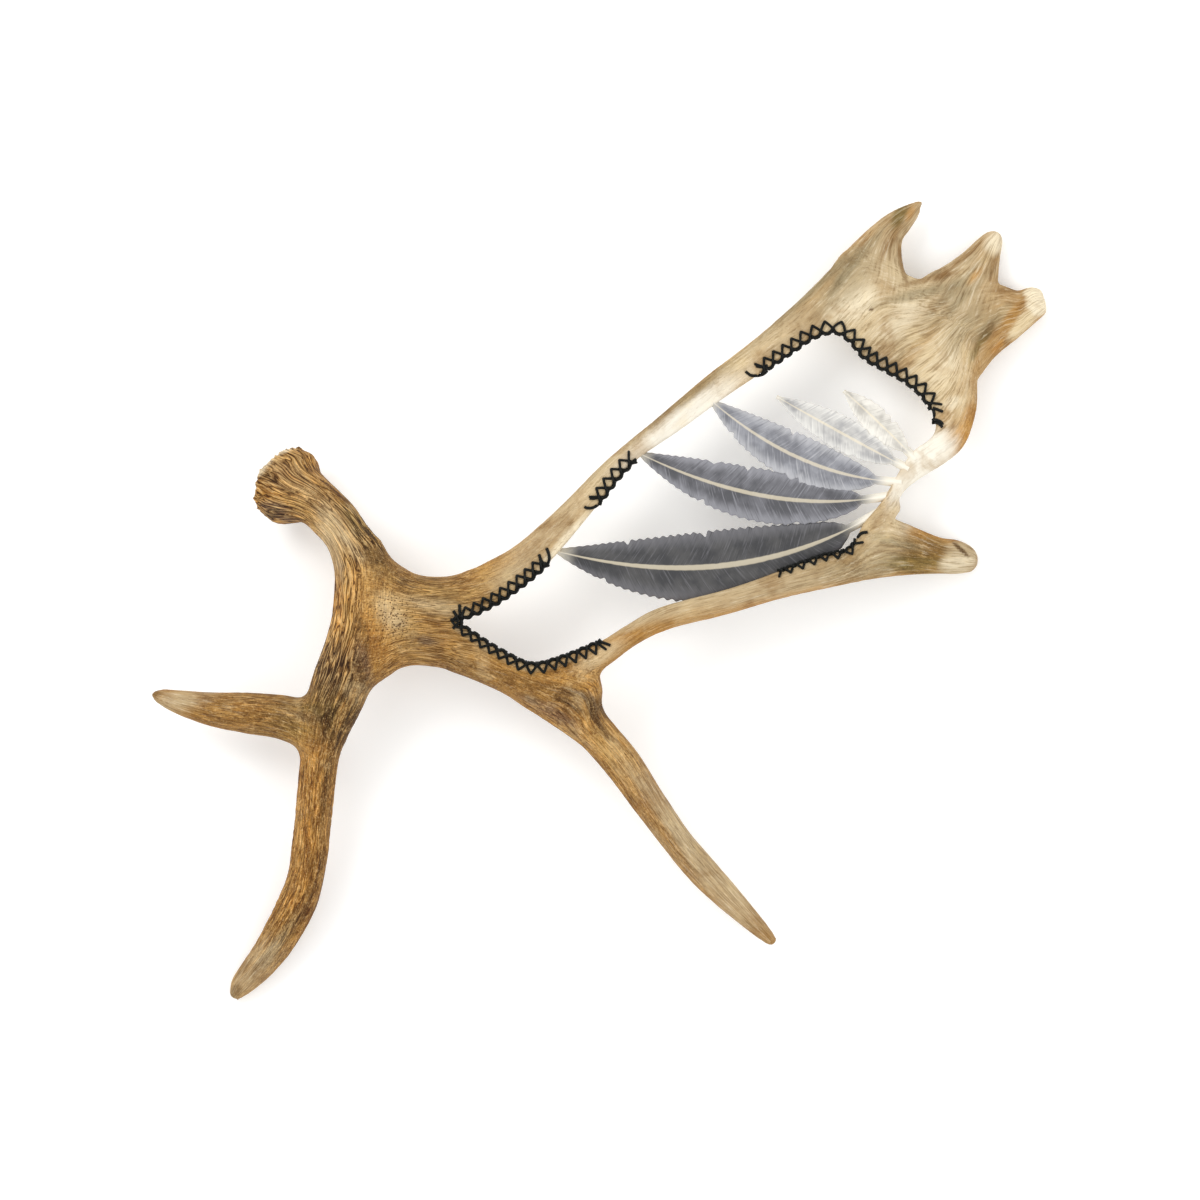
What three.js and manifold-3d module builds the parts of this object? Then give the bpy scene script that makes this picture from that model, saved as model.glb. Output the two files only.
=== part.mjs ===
// A carved moose antler lying face up: burr, beam, brow tines, trailing tine and a palm whose middle is cut
// out to leave a fan of five carved feathers, with black lace sewn round the edges of the cut-out.
// Millimetres, +Z up. The origin is on the surface that the antler rests on, under the middle of its box.
import * as THREE from "three";
import { mergeVertices } from "three/addons/utils/BufferGeometryUtils.js";
import Module from "manifold-3d";

const wasm = await Module();
wasm.setup();

// ---------------------------------------------------------------------------------------------------------
// Driving dimensions
// ---------------------------------------------------------------------------------------------------------

// The whole antler is draped on a low dome, so that it rests on its burr and on the ends of its tines.
const DOME = { x: -60, y: -20, crown: 68, drop: 2.15e-4 };

// Each limb is a row of stations: the two outline points seen from above, then the half depth there and how
// far the limb's middle lies above the dome.
const MAIN_LINE = [
  [-252.5, 125, -284, 70.5, 31.5, -28.4],
  [-244, 122, -278, 64, 26, -22.4],
  [-240, 111, -268, 63, 23.5, -16.2],
  [-232, 102, -252, 64, 21.5, -10.4],
  [-210, 81, -241, 56, 19.5, -6],
  [-195, 60, -230, 43, 19.5, -2],
  [-178, 38, -224, 23, 21, 0],
  [-175, 8, -224, 4, 23, 0],
  [-177, -22, -227, -20, 24, 0],
  [-184, -50, -234, -43, 24, 0],
  [-193, -77, -244, -69, 23, -1],
  [-205, -100, -251, -95, 21, -3],
  [-214, -118, -254, -122, 19, -6],
  [-221, -137, -254, -139, 17, -8],
  [-227, -184, -258, -184, 15.5, -11],
  [-232, -230, -264, -229, 16, -17],
  [-242, -265, -273, -255, 15.5, -22],
  [-262, -299, -289, -286, 13.5, -26],
  [-279, -319, -304, -309, 11, -27],
  [-295, -333, -313, -324, 8, -26.8],
  [-306, -340, -315, -335, 4.5, -26],
];
const FRONT_TINE = [
  [-221, -96, -224, -141, 18, -5],
  [-246, -85, -252, -128, 19, -6],
  [-269, -81, -273, -118, 17.5, -8],
  [-299, -79, -302, -113, 15.5, -10],
  [-328, -79, -332, -107, 12.5, -9],
  [-354, -77, -357, -98, 8.5, -6],
  [-371, -76, -372, -90, 5, -3],
  [-378, -78, -379, -84, 2.2, -1],
];
const TRAILING_TINE = [
  [-110, -28, -128, -60, 19, 0],
  [-76, -45, -92, -75, 18, 0],
  [-41, -55, -62, -92, 18, 0],
  [-7, -65, -41, -106, 18, -1],
  [2, -91, -22, -119, 17, -3],
  [13, -107, -11, -128, 16, -5],
  [32, -130, 7, -149, 14.5, -8],
  [54, -165, 30, -180, 13, -12],
  [75, -196, 53, -210, 12.5, -16],
  [97, -222, 76, -238, 11.5, -20],
  [115, -243, 98, -259, 10, -22],
  [133, -265, 120, -277, 7.5, -23],
  [143, -280, 134, -287, 5, -23],
  [148, -288, 143, -292, 2.2, -23],
];
const PALM = [
  [-211, 46, -221, -82, 22, 0],
  [-180, 36, -191, -73, 22, 0],
  [-157, 22, -165, -57, 21, 0],
  [-131, 19, -135, -58, 18.5, 0],
  [-100, 28, -102, -70, 15, 0],
  [-65, 49, -45, -82, 12, 0],
  [-34, 75, -2, -58, 10, 0],
  [5, 113, 34, -32, 8.5, 0],
  [47, 150, 79, -14, 8, 0],
  [91, 187, 125, -2, 7.5, 0],
  [135, 222, 182, 15, 7.5, 0],
  [169, 252, 249, 68, 7.5, 0],
  [181, 264, 253, 84, 7.5, 0],
  [192, 276, 266, 98, 7.5, 0],
  [211, 297, 304, 124, 7.5, 0],
  [238, 286, 318, 155, 7.2, -1],
  [262, 274, 320, 186, 7, -2],
  [282, 268, 322, 208, 6.5, -2],
];
const UPPER_RIM = [
  [-117, 22, -110, -6, 15, 0],
  [-76, 43, -65, 18, 12, 0],
  [-34, 78, -20, 60, 10, 0],
  [4, 116, 19, 103, 9.5, 0],
  [47, 152, 61, 139, 9.5, 0],
  [88, 187, 101, 172, 9, 0],
  [132, 221, 144, 204, 8.5, 0],
  [170, 255, 189, 233, 8, 0],
  [202, 287, 225, 261, 7.5, 0],
];
const LOWER_RIM = [
  [-17, -45, -1, -64, 12, 0],
  [19, -26, 29, -40, 10.5, 0],
  [53, -7, 60, -25, 10, 0],
  [99, 6, 104, -14, 10, 0],
  [150, 21, 156, 1, 10, 0],
  [197, 37, 202, 11, 10, -1],
  [228, 60, 235, 17, 10, -3],
  [255, 62, 262, 20, 10, -9],
  [286, 53, 286, 21, 9.5, -18],
  [304, 50, 303, 21, 9, -25],
  [316, 44, 315, 23, 6.5, -29],
  [320, 37, 320, 28, 2.5, -31],
];
const FIRST_POINT = [
  [180, 264, 255, 229, 7.5, 0],
  [196, 281, 262, 262, 7.5, 0],
  [212, 299, 257, 283, 7.5, 0],
  [229, 315, 256, 302, 7, 0],
  [243, 326, 262, 312, 5.5, 0],
  [258, 334, 270, 324, 3.6, -1],
  [271, 339, 274, 336, 1.6, -2],
];
const SECOND_POINT = [
  [255, 254, 327, 224, 7, 0],
  [274, 273, 334, 254, 7, 0],
  [291, 282, 338, 270, 7.5, -1],
  [308, 294, 339, 284, 8, -2],
  [320, 305, 341, 297, 7.5, -2.5],
  [328, 311, 342, 303, 5.5, -3],
  [333, 313, 341, 309, 2.5, -4],
];
const THIRD_POINT = [
  [310, 263, 302, 169, 7, -1],
  [325, 266, 319, 185, 7.5, -2],
  [340, 267, 335, 205, 8, -2.5],
  [354, 262, 353, 220, 8.5, -2.5],
  [366, 265, 370, 235, 9, -2.5],
  [374, 263, 379, 243, 8.5, -2.5],
];

// How round a limb's section is: 2 is an ellipse, more is flatter with rounded edges.
const ROUND = 2;
const BLUNT = 2.6;
const FLAT = 3.2;

// The cut-out's edge, seen from above, from the corner by the neck along the upper rim and back along the
// lower rim.
const WINDOW = [
  [-118, -19], [-102, -11], [-85, -2], [-65, 12], [-46, 28], [-32, 43], [-17, 61], [0, 82], [17, 104],
  [34, 120], [68, 143], [102, 168], [133, 189], [162, 209], [180, 221], [198, 226], [211, 219], [224, 204],
  [241, 194], [260, 183], [275, 169], [284, 151], [281, 137], [265, 125], [252, 106], [238, 82], [223, 64],
  [211, 43], [187, 36], [153, 24], [110, 9], [51, -7], [21, -23], [0, -36], [-34, -50], [-58, -55],
  [-81, -45], [-104, -31],
];
const WINDOW_STEPS = 66;

// The feathers fan out from the rim's far end: where the quill leaves the rim, the point that bends the
// shaft, the tip, the vane's greatest half width, and how far it lies above the dome.
const FEATHERS = [
  { root: [241, 77], bend: [119, -1], tip: [-39, 41], half: 31, lift: -1.5, steps: 10 },
  { root: [248, 88], bend: [144, 67], tip: [31, 124], half: 23, lift: 0, steps: 9 },
  { root: [255, 99], bend: [170, 101], tip: [92, 169], half: 20, lift: 1, steps: 8 },
  { root: [261, 110], bend: [212, 135], tip: [149, 171], half: 15, lift: 1.5, steps: 7 },
  { root: [267, 118], bend: [238, 148], tip: [206, 176], half: 12, lift: 2, steps: 6 },
];
const FEATHER_HALF_DEPTH = 5;
const QUILL_HALF = 4;
const QUILL_SHARE = 0.12;
const QUILL_TAPER = 0.55;
// The vane is fullest before its middle when its lean is under 1, and broader the smaller its fullness.
const VANE_LEAN = 0.8;
const VANE_FULLNESS = 0.75;
// A feather's section from one edge over the shaft's ridge to the other and back underneath, as shares of
// its half width and half depth.
const FEATHER_SECTION = [
  [-1, 0], [-0.55, 0.65], [-0.14, 0.5], [0, 1], [0.14, 0.5], [0.55, 0.65], [1, 0], [0, -0.75],
];

// The burr's pearls stand round its rim. Their places, sizes and heights along the axis vary a little, each
// with a beat of its own from one pearl to the next.
const PEARLS = { count: 20, radius: 4.2, out: 0.97, play: 0.2, stagger: 1.2 };
const PEARL_BEATS = { place: 5, size: 3.7, stagger: 2.3 };
// The shed face: its root inside the beam, its rim, and its flat middle, which stands a little proud.
const SEAL = { root: 0.9, sunk: 6, rim: 0.97, share: 0.72, proud: 4 };

// Lace: runs along the cut-out's edge, as shares of the edge's length, with holes a pitch apart and an inset
// from the edge. The lower run is sewn with shorter stitches.
const LACE_HALF = 1.3;
const LACE_GAP = 0.7;
const LACE_PITCH = 17;
const LACE_RUNS = [
  { name: "lacing_left", from: 0.866, to: 1.095, inset: 9.5 },
  { name: "lacing_upper", from: 0.146, to: 0.204, inset: 9.5 },
  { name: "lacing_top", from: 0.318, to: 0.52, inset: 9.5 },
  { name: "lacing_lower", from: 0.635, to: 0.712, inset: 5.5 },
];
// How far inside the edge the antler's faces are felt for, and the sharpest bend that a strip mitres.
const LIP = 1.5;
const SHARPEST_MITRE = 0.6;

// A needle that feels for the antler, and a height that passes right through it.
const NEEDLE = 1.2;
const THROUGH = 4 * DOME.crown;

// Saw kerfs at the main forks, from one side of the limb to the other, and a point inside each limb.
const KERF = 0.3;
const FORKS = [
  [[-236, 8], [-162, 36]],
  [[-248, -52], [-170, -62]],
  [[-257, -66], [-259, -146]],
  [[-264, -143], [-214, -144]],
  [[10, -84], [-33, -128]],
];
const LIMBS = [
  { name: "beam", at: [-215, 60] },
  { name: "palm", at: [-150, -20] },
  { name: "brow_branch", at: [-225, -100] },
  { name: "front_tine", at: [-300, -96] },
  { name: "lower_tine", at: [-243, -184] },
  { name: "trailing_tine", at: [42, -172] },
];

// ---------------------------------------------------------------------------------------------------------
// Shapes
// ---------------------------------------------------------------------------------------------------------

function domeHeight(x, y) {
  return DOME.crown - DOME.drop * ((x - DOME.x) ** 2 + (y - DOME.y) ** 2);
}

// Joins rings of equal length into one closed geometry, with a fan over the first and the last ring.
function closeRings(rings, firstPole, lastPole) {
  const around = rings[0].length;
  const points = [...rings.flat(), firstPole, lastPole];
  const first = rings.length * around;
  const last = first + 1;
  const faces = [];
  for (let k = 0; k < around; k++) {
    const next = (k + 1) % around;
    for (let i = 0; i < rings.length - 1; i++) {
      const row = i * around;
      const above = row + around;
      faces.push(row + k, row + next, above + next);
      faces.push(row + k, above + next, above + k);
    }
    const end = (rings.length - 1) * around;
    faces.push(first, next, k);
    faces.push(last, end + k, end + next);
  }
  const geometry = new THREE.BufferGeometry().setFromPoints(points);
  geometry.setIndex(faces);
  return geometry;
}

// A closed geometry as a solid, turned to face outwards.
function solid(geometry) {
  const bare = geometry.clone();
  bare.deleteAttribute("normal");
  bare.deleteAttribute("uv");
  const merged = mergeVertices(bare, 1e-3);
  const triVerts = new Uint32Array(merged.index.array);
  const make = () =>
    new wasm.Manifold(
      new wasm.Mesh({ numProp: 3, vertProperties: merged.attributes.position.array, triVerts }),
    );
  const made = make();
  if (made.volume() > 0) return made;
  for (let i = 0; i < triVerts.length; i += 3) {
    [triVerts[i + 1], triVerts[i + 2]] = [triVerts[i + 2], triVerts[i + 1]];
  }
  return make();
}

// A point on a superellipse of half axes 1, at this angle.
function sectionPoint(angle, roundness) {
  const share = (v) => Math.sign(v) * Math.abs(v) ** (2 / roundness);
  return [share(Math.cos(angle)), share(Math.sin(angle))];
}

// Where a limb's spline is at each step: its middle, its half width, half depth and lift.
function limbSteps(stations, perStation) {
  const left = stations.map(([ax, ay, , , , lift]) => new THREE.Vector3(ax, ay, lift));
  const right = stations.map(([, , bx, by, depth]) => new THREE.Vector3(bx, by, depth));
  const curves = [left, right].map((p) => new THREE.CatmullRomCurve3(p, false, "catmullrom", 0.5));
  const count = (stations.length - 1) * perStation;
  const steps = [];
  for (let i = 0; i <= count; i++) {
    const [a, b] = curves.map((curve) => curve.getPoint(i / count));
    const middle = new THREE.Vector3((a.x + b.x) / 2, (a.y + b.y) / 2, 0);
    middle.z = domeHeight(middle.x, middle.y) + a.z;
    const across = new THREE.Vector3((a.x - b.x) / 2, (a.y - b.y) / 2, 0);
    steps.push({ middle, across, depth: b.z, lift: a.z });
  }
  return steps;
}

// The limb's direction at a step, from its neighbours.
function directionAt(steps, i) {
  const before = steps[Math.max(i - 1, 0)].middle;
  const after = steps[Math.min(i + 1, steps.length - 1)].middle;
  return new THREE.Vector3().subVectors(after, before).normalize();
}

// A limb: its section carried along its stations, each ring square to the limb and draped on the dome.
function limb(stations, { around = 12, perStation = 1, roundness = ROUND } = {}) {
  const steps = limbSteps(stations, perStation);
  const rings = steps.map(({ middle, across, depth, lift }, i) => {
    const up = new THREE.Vector3().crossVectors(directionAt(steps, i), across).normalize();
    if (up.z < 0) up.negate();
    const ring = [];
    for (let k = 0; k < around; k++) {
      const [side, height] = sectionPoint((2 * Math.PI * k) / around, roundness);
      const p = middle.clone().addScaledVector(across, side);
      p.z = domeHeight(p.x, p.y) + lift;
      ring.push(p.addScaledVector(up, depth * height));
    }
    return ring;
  });
  return solid(closeRings(rings, steps[0].middle, steps.at(-1).middle));
}

// The burr's middle, its radius, and the directions out of its face, across it and up it.
function burrFrame() {
  const steps = limbSteps(MAIN_LINE, 1);
  const { middle, across, depth } = steps[0];
  const out = directionAt(steps, 0).negate();
  const side = across.clone().projectOnPlane(out).normalize();
  const up = new THREE.Vector3().crossVectors(out, side).normalize();
  return { middle, radius: Math.max(across.length(), depth), out, side, up };
}

// A point on a circle round the burr's axis.
function onBurr({ middle, out, side, up }, radius, angle, along) {
  return middle
    .clone()
    .addScaledVector(side, radius * Math.cos(angle))
    .addScaledVector(up, radius * Math.sin(angle))
    .addScaledVector(out, along);
}

// The shed face: a low truncated cone on the end of the beam.
function seal(frame, around = 14) {
  const ring = (radius, along) =>
    Array.from({ length: around }, (_, k) => onBurr(frame, radius, (2 * Math.PI * k) / around, along));
  const rings = [
    ring(frame.radius * SEAL.root, -SEAL.sunk),
    ring(frame.radius * SEAL.rim, 0),
    ring(frame.radius * SEAL.share, SEAL.proud),
  ];
  const pole = (along) => frame.middle.clone().addScaledVector(frame.out, along);
  return solid(closeRings(rings, pole(-SEAL.sunk), pole(SEAL.proud)));
}

// The pearls: knobs round the burr's rim, each turned and sized a little differently.
function pearls(frame) {
  return Array.from({ length: PEARLS.count }, (_, k) => {
    const angle = (2 * Math.PI * (k + PEARLS.play * Math.sin(PEARL_BEATS.place * k))) / PEARLS.count;
    const size = PEARLS.radius * (1 + PEARLS.play * Math.sin(PEARL_BEATS.size * k));
    const along = PEARLS.stagger * Math.sin(PEARL_BEATS.stagger * k);
    const at = onBurr(frame, frame.radius * PEARLS.out, angle, along);
    return solid(new THREE.IcosahedronGeometry(size, 0).rotateZ(k).translate(at.x, at.y, at.z));
  });
}

// The cut-out's edge as one closed curve.
function windowCurve() {
  const points = WINDOW.map(([x, y]) => new THREE.Vector3(x, y, 0));
  return new THREE.CatmullRomCurve3(points, true, "catmullrom", 0.5);
}

// The block that is sawn out of the palm.
function windowBlock(curve) {
  const points = curve.getSpacedPoints(WINDOW_STEPS).slice(0, -1);
  const outline = new THREE.Shape(points.map(({ x, y }) => new THREE.Vector2(x, y)));
  return solid(new THREE.ExtrudeGeometry(outline, { depth: 2 * DOME.crown, bevelEnabled: false }));
}

// A feather: its ridged section carried along a bent shaft, narrow along the quill and full in the vane.
function feather({ root, bend, tip, half, lift, steps }) {
  const [a, b, c] = [root, bend, tip].map(([x, y]) => new THREE.Vector3(x, y, 0));
  const shaft = new THREE.QuadraticBezierCurve3(a, b, c);
  const rings = [];
  for (let i = 0; i <= steps; i++) {
    const u = i / steps;
    const vane = Math.max(0, (u - QUILL_SHARE) / (1 - QUILL_SHARE));
    const full = half * Math.sin(Math.PI * vane ** VANE_LEAN) ** VANE_FULLNESS;
    const width = Math.max(QUILL_HALF * (1 - QUILL_TAPER * u), full);
    const middle = shaft.getPoint(u);
    const along = shaft.getTangent(u);
    const across = new THREE.Vector3(-along.y, along.x, 0);
    rings.push(
      FEATHER_SECTION.map(([side, height]) => {
        const p = middle.clone().addScaledVector(across, side * width);
        p.z = domeHeight(p.x, p.y) + lift + height * FEATHER_HALF_DEPTH;
        return p;
      }),
    );
  }
  const pole = (point) => point.clone().setZ(domeHeight(point.x, point.y) + lift);
  return solid(closeRings(rings, pole(a), pole(c)));
}

// The highest and the lowest point of a solid over a spot, found with a thin needle.
function probe(body, x, y) {
  const needle = solid(new THREE.BoxGeometry(NEEDLE, NEEDLE, THROUGH).translate(x, y, 0));
  const { min, max } = body.intersect(needle).boundingBox();
  return { low: min[2], high: max[2] };
}

// A square strip along a broken line. Each ring lies on the plane that halves the bend there, and is as
// much wider in the bend as a mitre needs. `side` is the direction that stays across the strip.
function strip(path, half) {
  const rings = path.map(({ at, side }, i) => {
    const before = path[Math.max(i - 1, 0)].at;
    const after = path[Math.min(i + 1, path.length - 1)].at;
    const arriving = new THREE.Vector3().subVectors(at, before);
    const leaving = new THREE.Vector3().subVectors(after, at);
    if (i === 0) arriving.copy(leaving);
    if (i === path.length - 1) leaving.copy(arriving);
    arriving.normalize();
    leaving.normalize();
    const along = arriving.clone().add(leaving).normalize();
    const mitre = 1 / Math.max(SHARPEST_MITRE, along.dot(arriving));
    const wide = side.clone().addScaledVector(along, -side.dot(along)).normalize();
    const thick = new THREE.Vector3().crossVectors(along, wide);
    const corner = (w, t) =>
      at.clone().addScaledVector(wide, w * half).addScaledVector(thick, t * half * mitre);
    return [corner(1, 1), corner(-1, 1), corner(-1, -1), corner(1, -1)];
  });
  return solid(closeRings(rings, path[0].at, path.at(-1).at));
}

// The line that one run of lace follows: up through a hole, over the face to the cut-out's edge half a
// pitch on, down the edge and back underneath to the next hole.
function lacePath(curve, palm, { from, to, inset: deep }) {
  const length = curve.getLength();
  const turns = Math.round(((to - from) * length) / LACE_PITCH);
  const spot = (share, inset) => {
    const u = (((from + (to - from) * share) % 1) + 1) % 1;
    const along = curve.getTangentAt(u);
    const outward = new THREE.Vector3(-along.y, along.x, 0);
    return { at: curve.getPointAt(u).addScaledVector(outward, inset), side: along };
  };
  const clear = LACE_HALF + 2 * LACE_GAP;
  const path = [];
  for (let k = 0; k <= turns; k++) {
    const hole = spot(k / turns, deep);
    const sheet = probe(palm, hole.at.x, hole.at.y);
    path.push({ at: hole.at.clone().setZ(sheet.low - clear), side: hole.side });
    path.push({ at: hole.at.clone().setZ(sheet.high + clear), side: hole.side });
    if (k === turns) break;
    const edge = spot((k + 0.5) / turns, -clear);
    const lip = spot((k + 0.5) / turns, LIP).at;
    const rim = probe(palm, lip.x, lip.y);
    path.push({ at: edge.at.clone().setZ(rim.high + clear), side: edge.side });
    path.push({ at: edge.at.clone().setZ(rim.low - clear), side: edge.side });
  }
  return path;
}

// A thin upright blade along a line on the plan.
function blade([[ax, ay], [bx, by]]) {
  const length = Math.hypot(bx - ax, by - ay);
  const geometry = new THREE.BoxGeometry(length, KERF, THROUGH);
  geometry.rotateZ(Math.atan2(by - ay, bx - ax));
  geometry.translate((ax + bx) / 2, (ay + by) / 2, 0);
  return solid(geometry);
}

// ---------------------------------------------------------------------------------------------------------
// Assembly
// ---------------------------------------------------------------------------------------------------------

const frame = burrFrame();
const curve = windowCurve();

const palmBody = [
  limb(PALM, { around: 12, roundness: FLAT }),
  limb(UPPER_RIM, { around: 8 }),
  limb(LOWER_RIM, { around: 8 }),
  limb(FIRST_POINT, { around: 8, roundness: BLUNT }),
  limb(SECOND_POINT, { around: 8, roundness: BLUNT }),
  limb(THIRD_POINT, { around: 8, roundness: BLUNT }),
];
const stem = [
  limb(MAIN_LINE, { around: 12 }),
  limb(FRONT_TINE, { around: 10 }),
  limb(TRAILING_TINE, { around: 10 }),
  seal(frame),
  ...pearls(frame),
];
const pierced = wasm.Manifold.union([...palmBody, ...stem]).subtract(windowBlock(curve));
const carved = wasm.Manifold.union([pierced, ...FEATHERS.map(feather)]);

const laces = LACE_RUNS.map((run) => ({ name: run.name, path: lacePath(curve, pierced, run) }));
const bored = laces.reduce((body, { path }) => body.subtract(strip(path, LACE_HALF + LACE_GAP)), carved);
const parted = FORKS.reduce((body, line) => body.subtract(blade(line)), bored).decompose();

// The parted piece that lies under a point on the plan.
function pieceAt([x, y]) {
  const needle = solid(new THREE.BoxGeometry(NEEDLE, NEEDLE, THROUGH).translate(x, y, 0));
  return parted.find((piece) => piece.intersect(needle).volume() > 0);
}

const antlerFinish = { color: 0xb08f66, roughness: 0.62, metalness: 0 };
const laceFinish = { color: 0x171a16, roughness: 0.8, metalness: 0 };

// A solid as a named mesh.
function node(name, body, finish) {
  const { numProp, vertProperties, triVerts } = body.getMesh();
  const points = [];
  for (let i = 0; i < vertProperties.length; i += numProp) points.push(...vertProperties.slice(i, i + 3));
  const geometry = new THREE.BufferGeometry();
  geometry.setAttribute("position", new THREE.Float32BufferAttribute(points, 3));
  geometry.setIndex([...triVerts]);
  geometry.computeVertexNormals();
  const mesh = new THREE.Mesh(geometry, new THREE.MeshStandardMaterial(finish));
  mesh.name = name;
  return mesh;
}

const antler = new THREE.Group();
for (const { name, at } of LIMBS) antler.add(node(name, pieceAt(at), antlerFinish));
for (const { name, path } of laces) antler.add(node(name, strip(path, LACE_HALF), laceFinish));

export default antler;
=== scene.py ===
"""A carved and painted moose antler, lying face up on a pale floor.

The grown antler is one skin: numpy surfaces of its limbs, melted together where they fork. A fan of five
carved feathers stands in the cut-out of its palm, and black lace is sewn along the cut-out's edges.
Sizes are in millimetres, and turn to metres where a mesh is made.
"""
import logging
import math
from dataclasses import dataclass
from enum import Enum
from itertools import product
from typing import Sequence

import bmesh
import bpy
import numpy as np
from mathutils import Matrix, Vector
from mathutils.bvhtree import BVHTree


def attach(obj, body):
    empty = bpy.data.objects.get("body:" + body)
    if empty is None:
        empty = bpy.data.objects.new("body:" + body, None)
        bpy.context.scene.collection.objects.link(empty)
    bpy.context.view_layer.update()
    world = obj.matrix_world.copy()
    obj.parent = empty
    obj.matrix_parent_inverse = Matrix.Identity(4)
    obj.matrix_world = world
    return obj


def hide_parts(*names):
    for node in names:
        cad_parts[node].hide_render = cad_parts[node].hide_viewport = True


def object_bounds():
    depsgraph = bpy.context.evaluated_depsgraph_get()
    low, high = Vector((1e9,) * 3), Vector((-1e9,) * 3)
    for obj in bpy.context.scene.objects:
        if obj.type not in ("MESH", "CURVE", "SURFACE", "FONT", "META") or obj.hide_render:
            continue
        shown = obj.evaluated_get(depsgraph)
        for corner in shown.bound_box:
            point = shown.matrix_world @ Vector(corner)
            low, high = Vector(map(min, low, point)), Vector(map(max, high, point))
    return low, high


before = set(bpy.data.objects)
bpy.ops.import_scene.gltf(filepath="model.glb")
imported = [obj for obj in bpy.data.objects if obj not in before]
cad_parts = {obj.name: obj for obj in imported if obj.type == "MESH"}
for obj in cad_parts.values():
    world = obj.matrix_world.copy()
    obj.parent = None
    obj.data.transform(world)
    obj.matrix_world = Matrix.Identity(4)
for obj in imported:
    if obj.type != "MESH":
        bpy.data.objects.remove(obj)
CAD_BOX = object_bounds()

log = logging.getLogger("antler")
Array = np.ndarray
MM = 0.001
ROOT = "root"


# ---------------------------------------------------------------------------------------------------------
# Numbers and arrays
# ---------------------------------------------------------------------------------------------------------


def linear(code: str) -> tuple[float, float, float, float]:
    """Turns an sRGB colour such as "#b08f66" into the linear colour that shaders use.

    Args:
        code: a hash sign and six hexadecimal digits.

    Returns:
        Red, green, blue and an alpha of 1.
    """
    parts = [int(code[i : i + 2], 16) / 255 for i in (1, 3, 5)]
    red, green, blue = ((c / 12.92) if c <= 0.04045 else ((c + 0.055) / 1.055) ** 2.4 for c in parts)
    return red, green, blue, 1.0


def ease(value: Array, start: float, end: float) -> Array:
    """A smooth step: 0 before start, 1 after end, and 3t² - 2t³ between them. End may lie below start."""
    t = np.clip((value - start) / (end - start), 0, 1)
    return t * t * (3 - 2 * t)


def unit(vectors: Array) -> Array:
    """Rows scaled to a length of 1."""
    return vectors / np.maximum(np.linalg.norm(vectors, axis=-1, keepdims=True), 1e-9)


def spline(points: Sequence, steps: int, closed: bool = False) -> Array:
    """A uniform Catmull-Rom spline through rows of numbers.

    Between rows b and c, with a before and d after them, it is half of
    2b + (c - a)t + (2a - 5b + 4c - d)t² + (3b - a - 3c + d)t³.

    Args:
        points: the rows that it passes through.
        steps: how many pieces each span is cut into.
        closed: whether the last row leads back to the first.

    Returns:
        The rows along the spline.
    """
    rows = np.asarray(points, float)
    if closed:
        padded = np.concatenate([rows[-1:], rows, rows[:2]])
    else:
        padded = np.concatenate([2 * rows[:1] - rows[1:2], rows, 2 * rows[-1:] - rows[-2:-1]])
    spans = len(padded) - 3
    place = np.linspace(0, spans, spans * steps + 1)[: -1 if closed else None]
    at = np.minimum(place.astype(int), spans - 1)
    t = (place - at)[:, None]
    a, b, c, d = (padded[at + k] for k in range(4))
    return (2 * b + (c - a) * t + (2 * a - 5 * b + 4 * c - d) * t**2 + (3 * b - a - 3 * c + d) * t**3) / 2


class Lattice:
    """Seeded value noise: random numbers on a repeating lattice, eased between the eight nearest."""

    SIZE = 64

    def __init__(self, seed: int) -> None:
        """Draws the lattice's numbers from 0 to 1."""
        self.values = np.random.default_rng(seed).random((self.SIZE,) * 3)

    def at(self, points: Array) -> Array:
        """The noise at rows of three lattice coordinates, from 0 to 1."""
        base = np.floor(points).astype(int)
        part = points - base
        eased = part * part * (3 - 2 * part)
        total = np.zeros(len(points))
        for corner in product((0, 1), repeat=3):
            share = np.prod(np.where(corner, eased, 1 - eased), axis=1)
            i, j, k = ((base + corner) % self.SIZE).T
            total += self.values[i, j, k] * share
        return total


@dataclass(frozen=True)
class Dome:
    """The low dome that the whole antler is draped on.

    Attributes:
        x: its middle.
        y: its middle.
        crown: its height there, in millimetres.
        drop: how far it falls for each squared millimetre from there.
    """

    x: float = -60
    y: float = -20
    crown: float = 68
    drop: float = 2.15e-4

    def height(self, x: Array, y: Array) -> Array:
        """The crown less the drop times the squared distance from the middle."""
        return self.crown - self.drop * ((x - self.x) ** 2 + (y - self.y) ** 2)


DOME = Dome()


# ---------------------------------------------------------------------------------------------------------
# Meshes
# ---------------------------------------------------------------------------------------------------------


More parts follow.
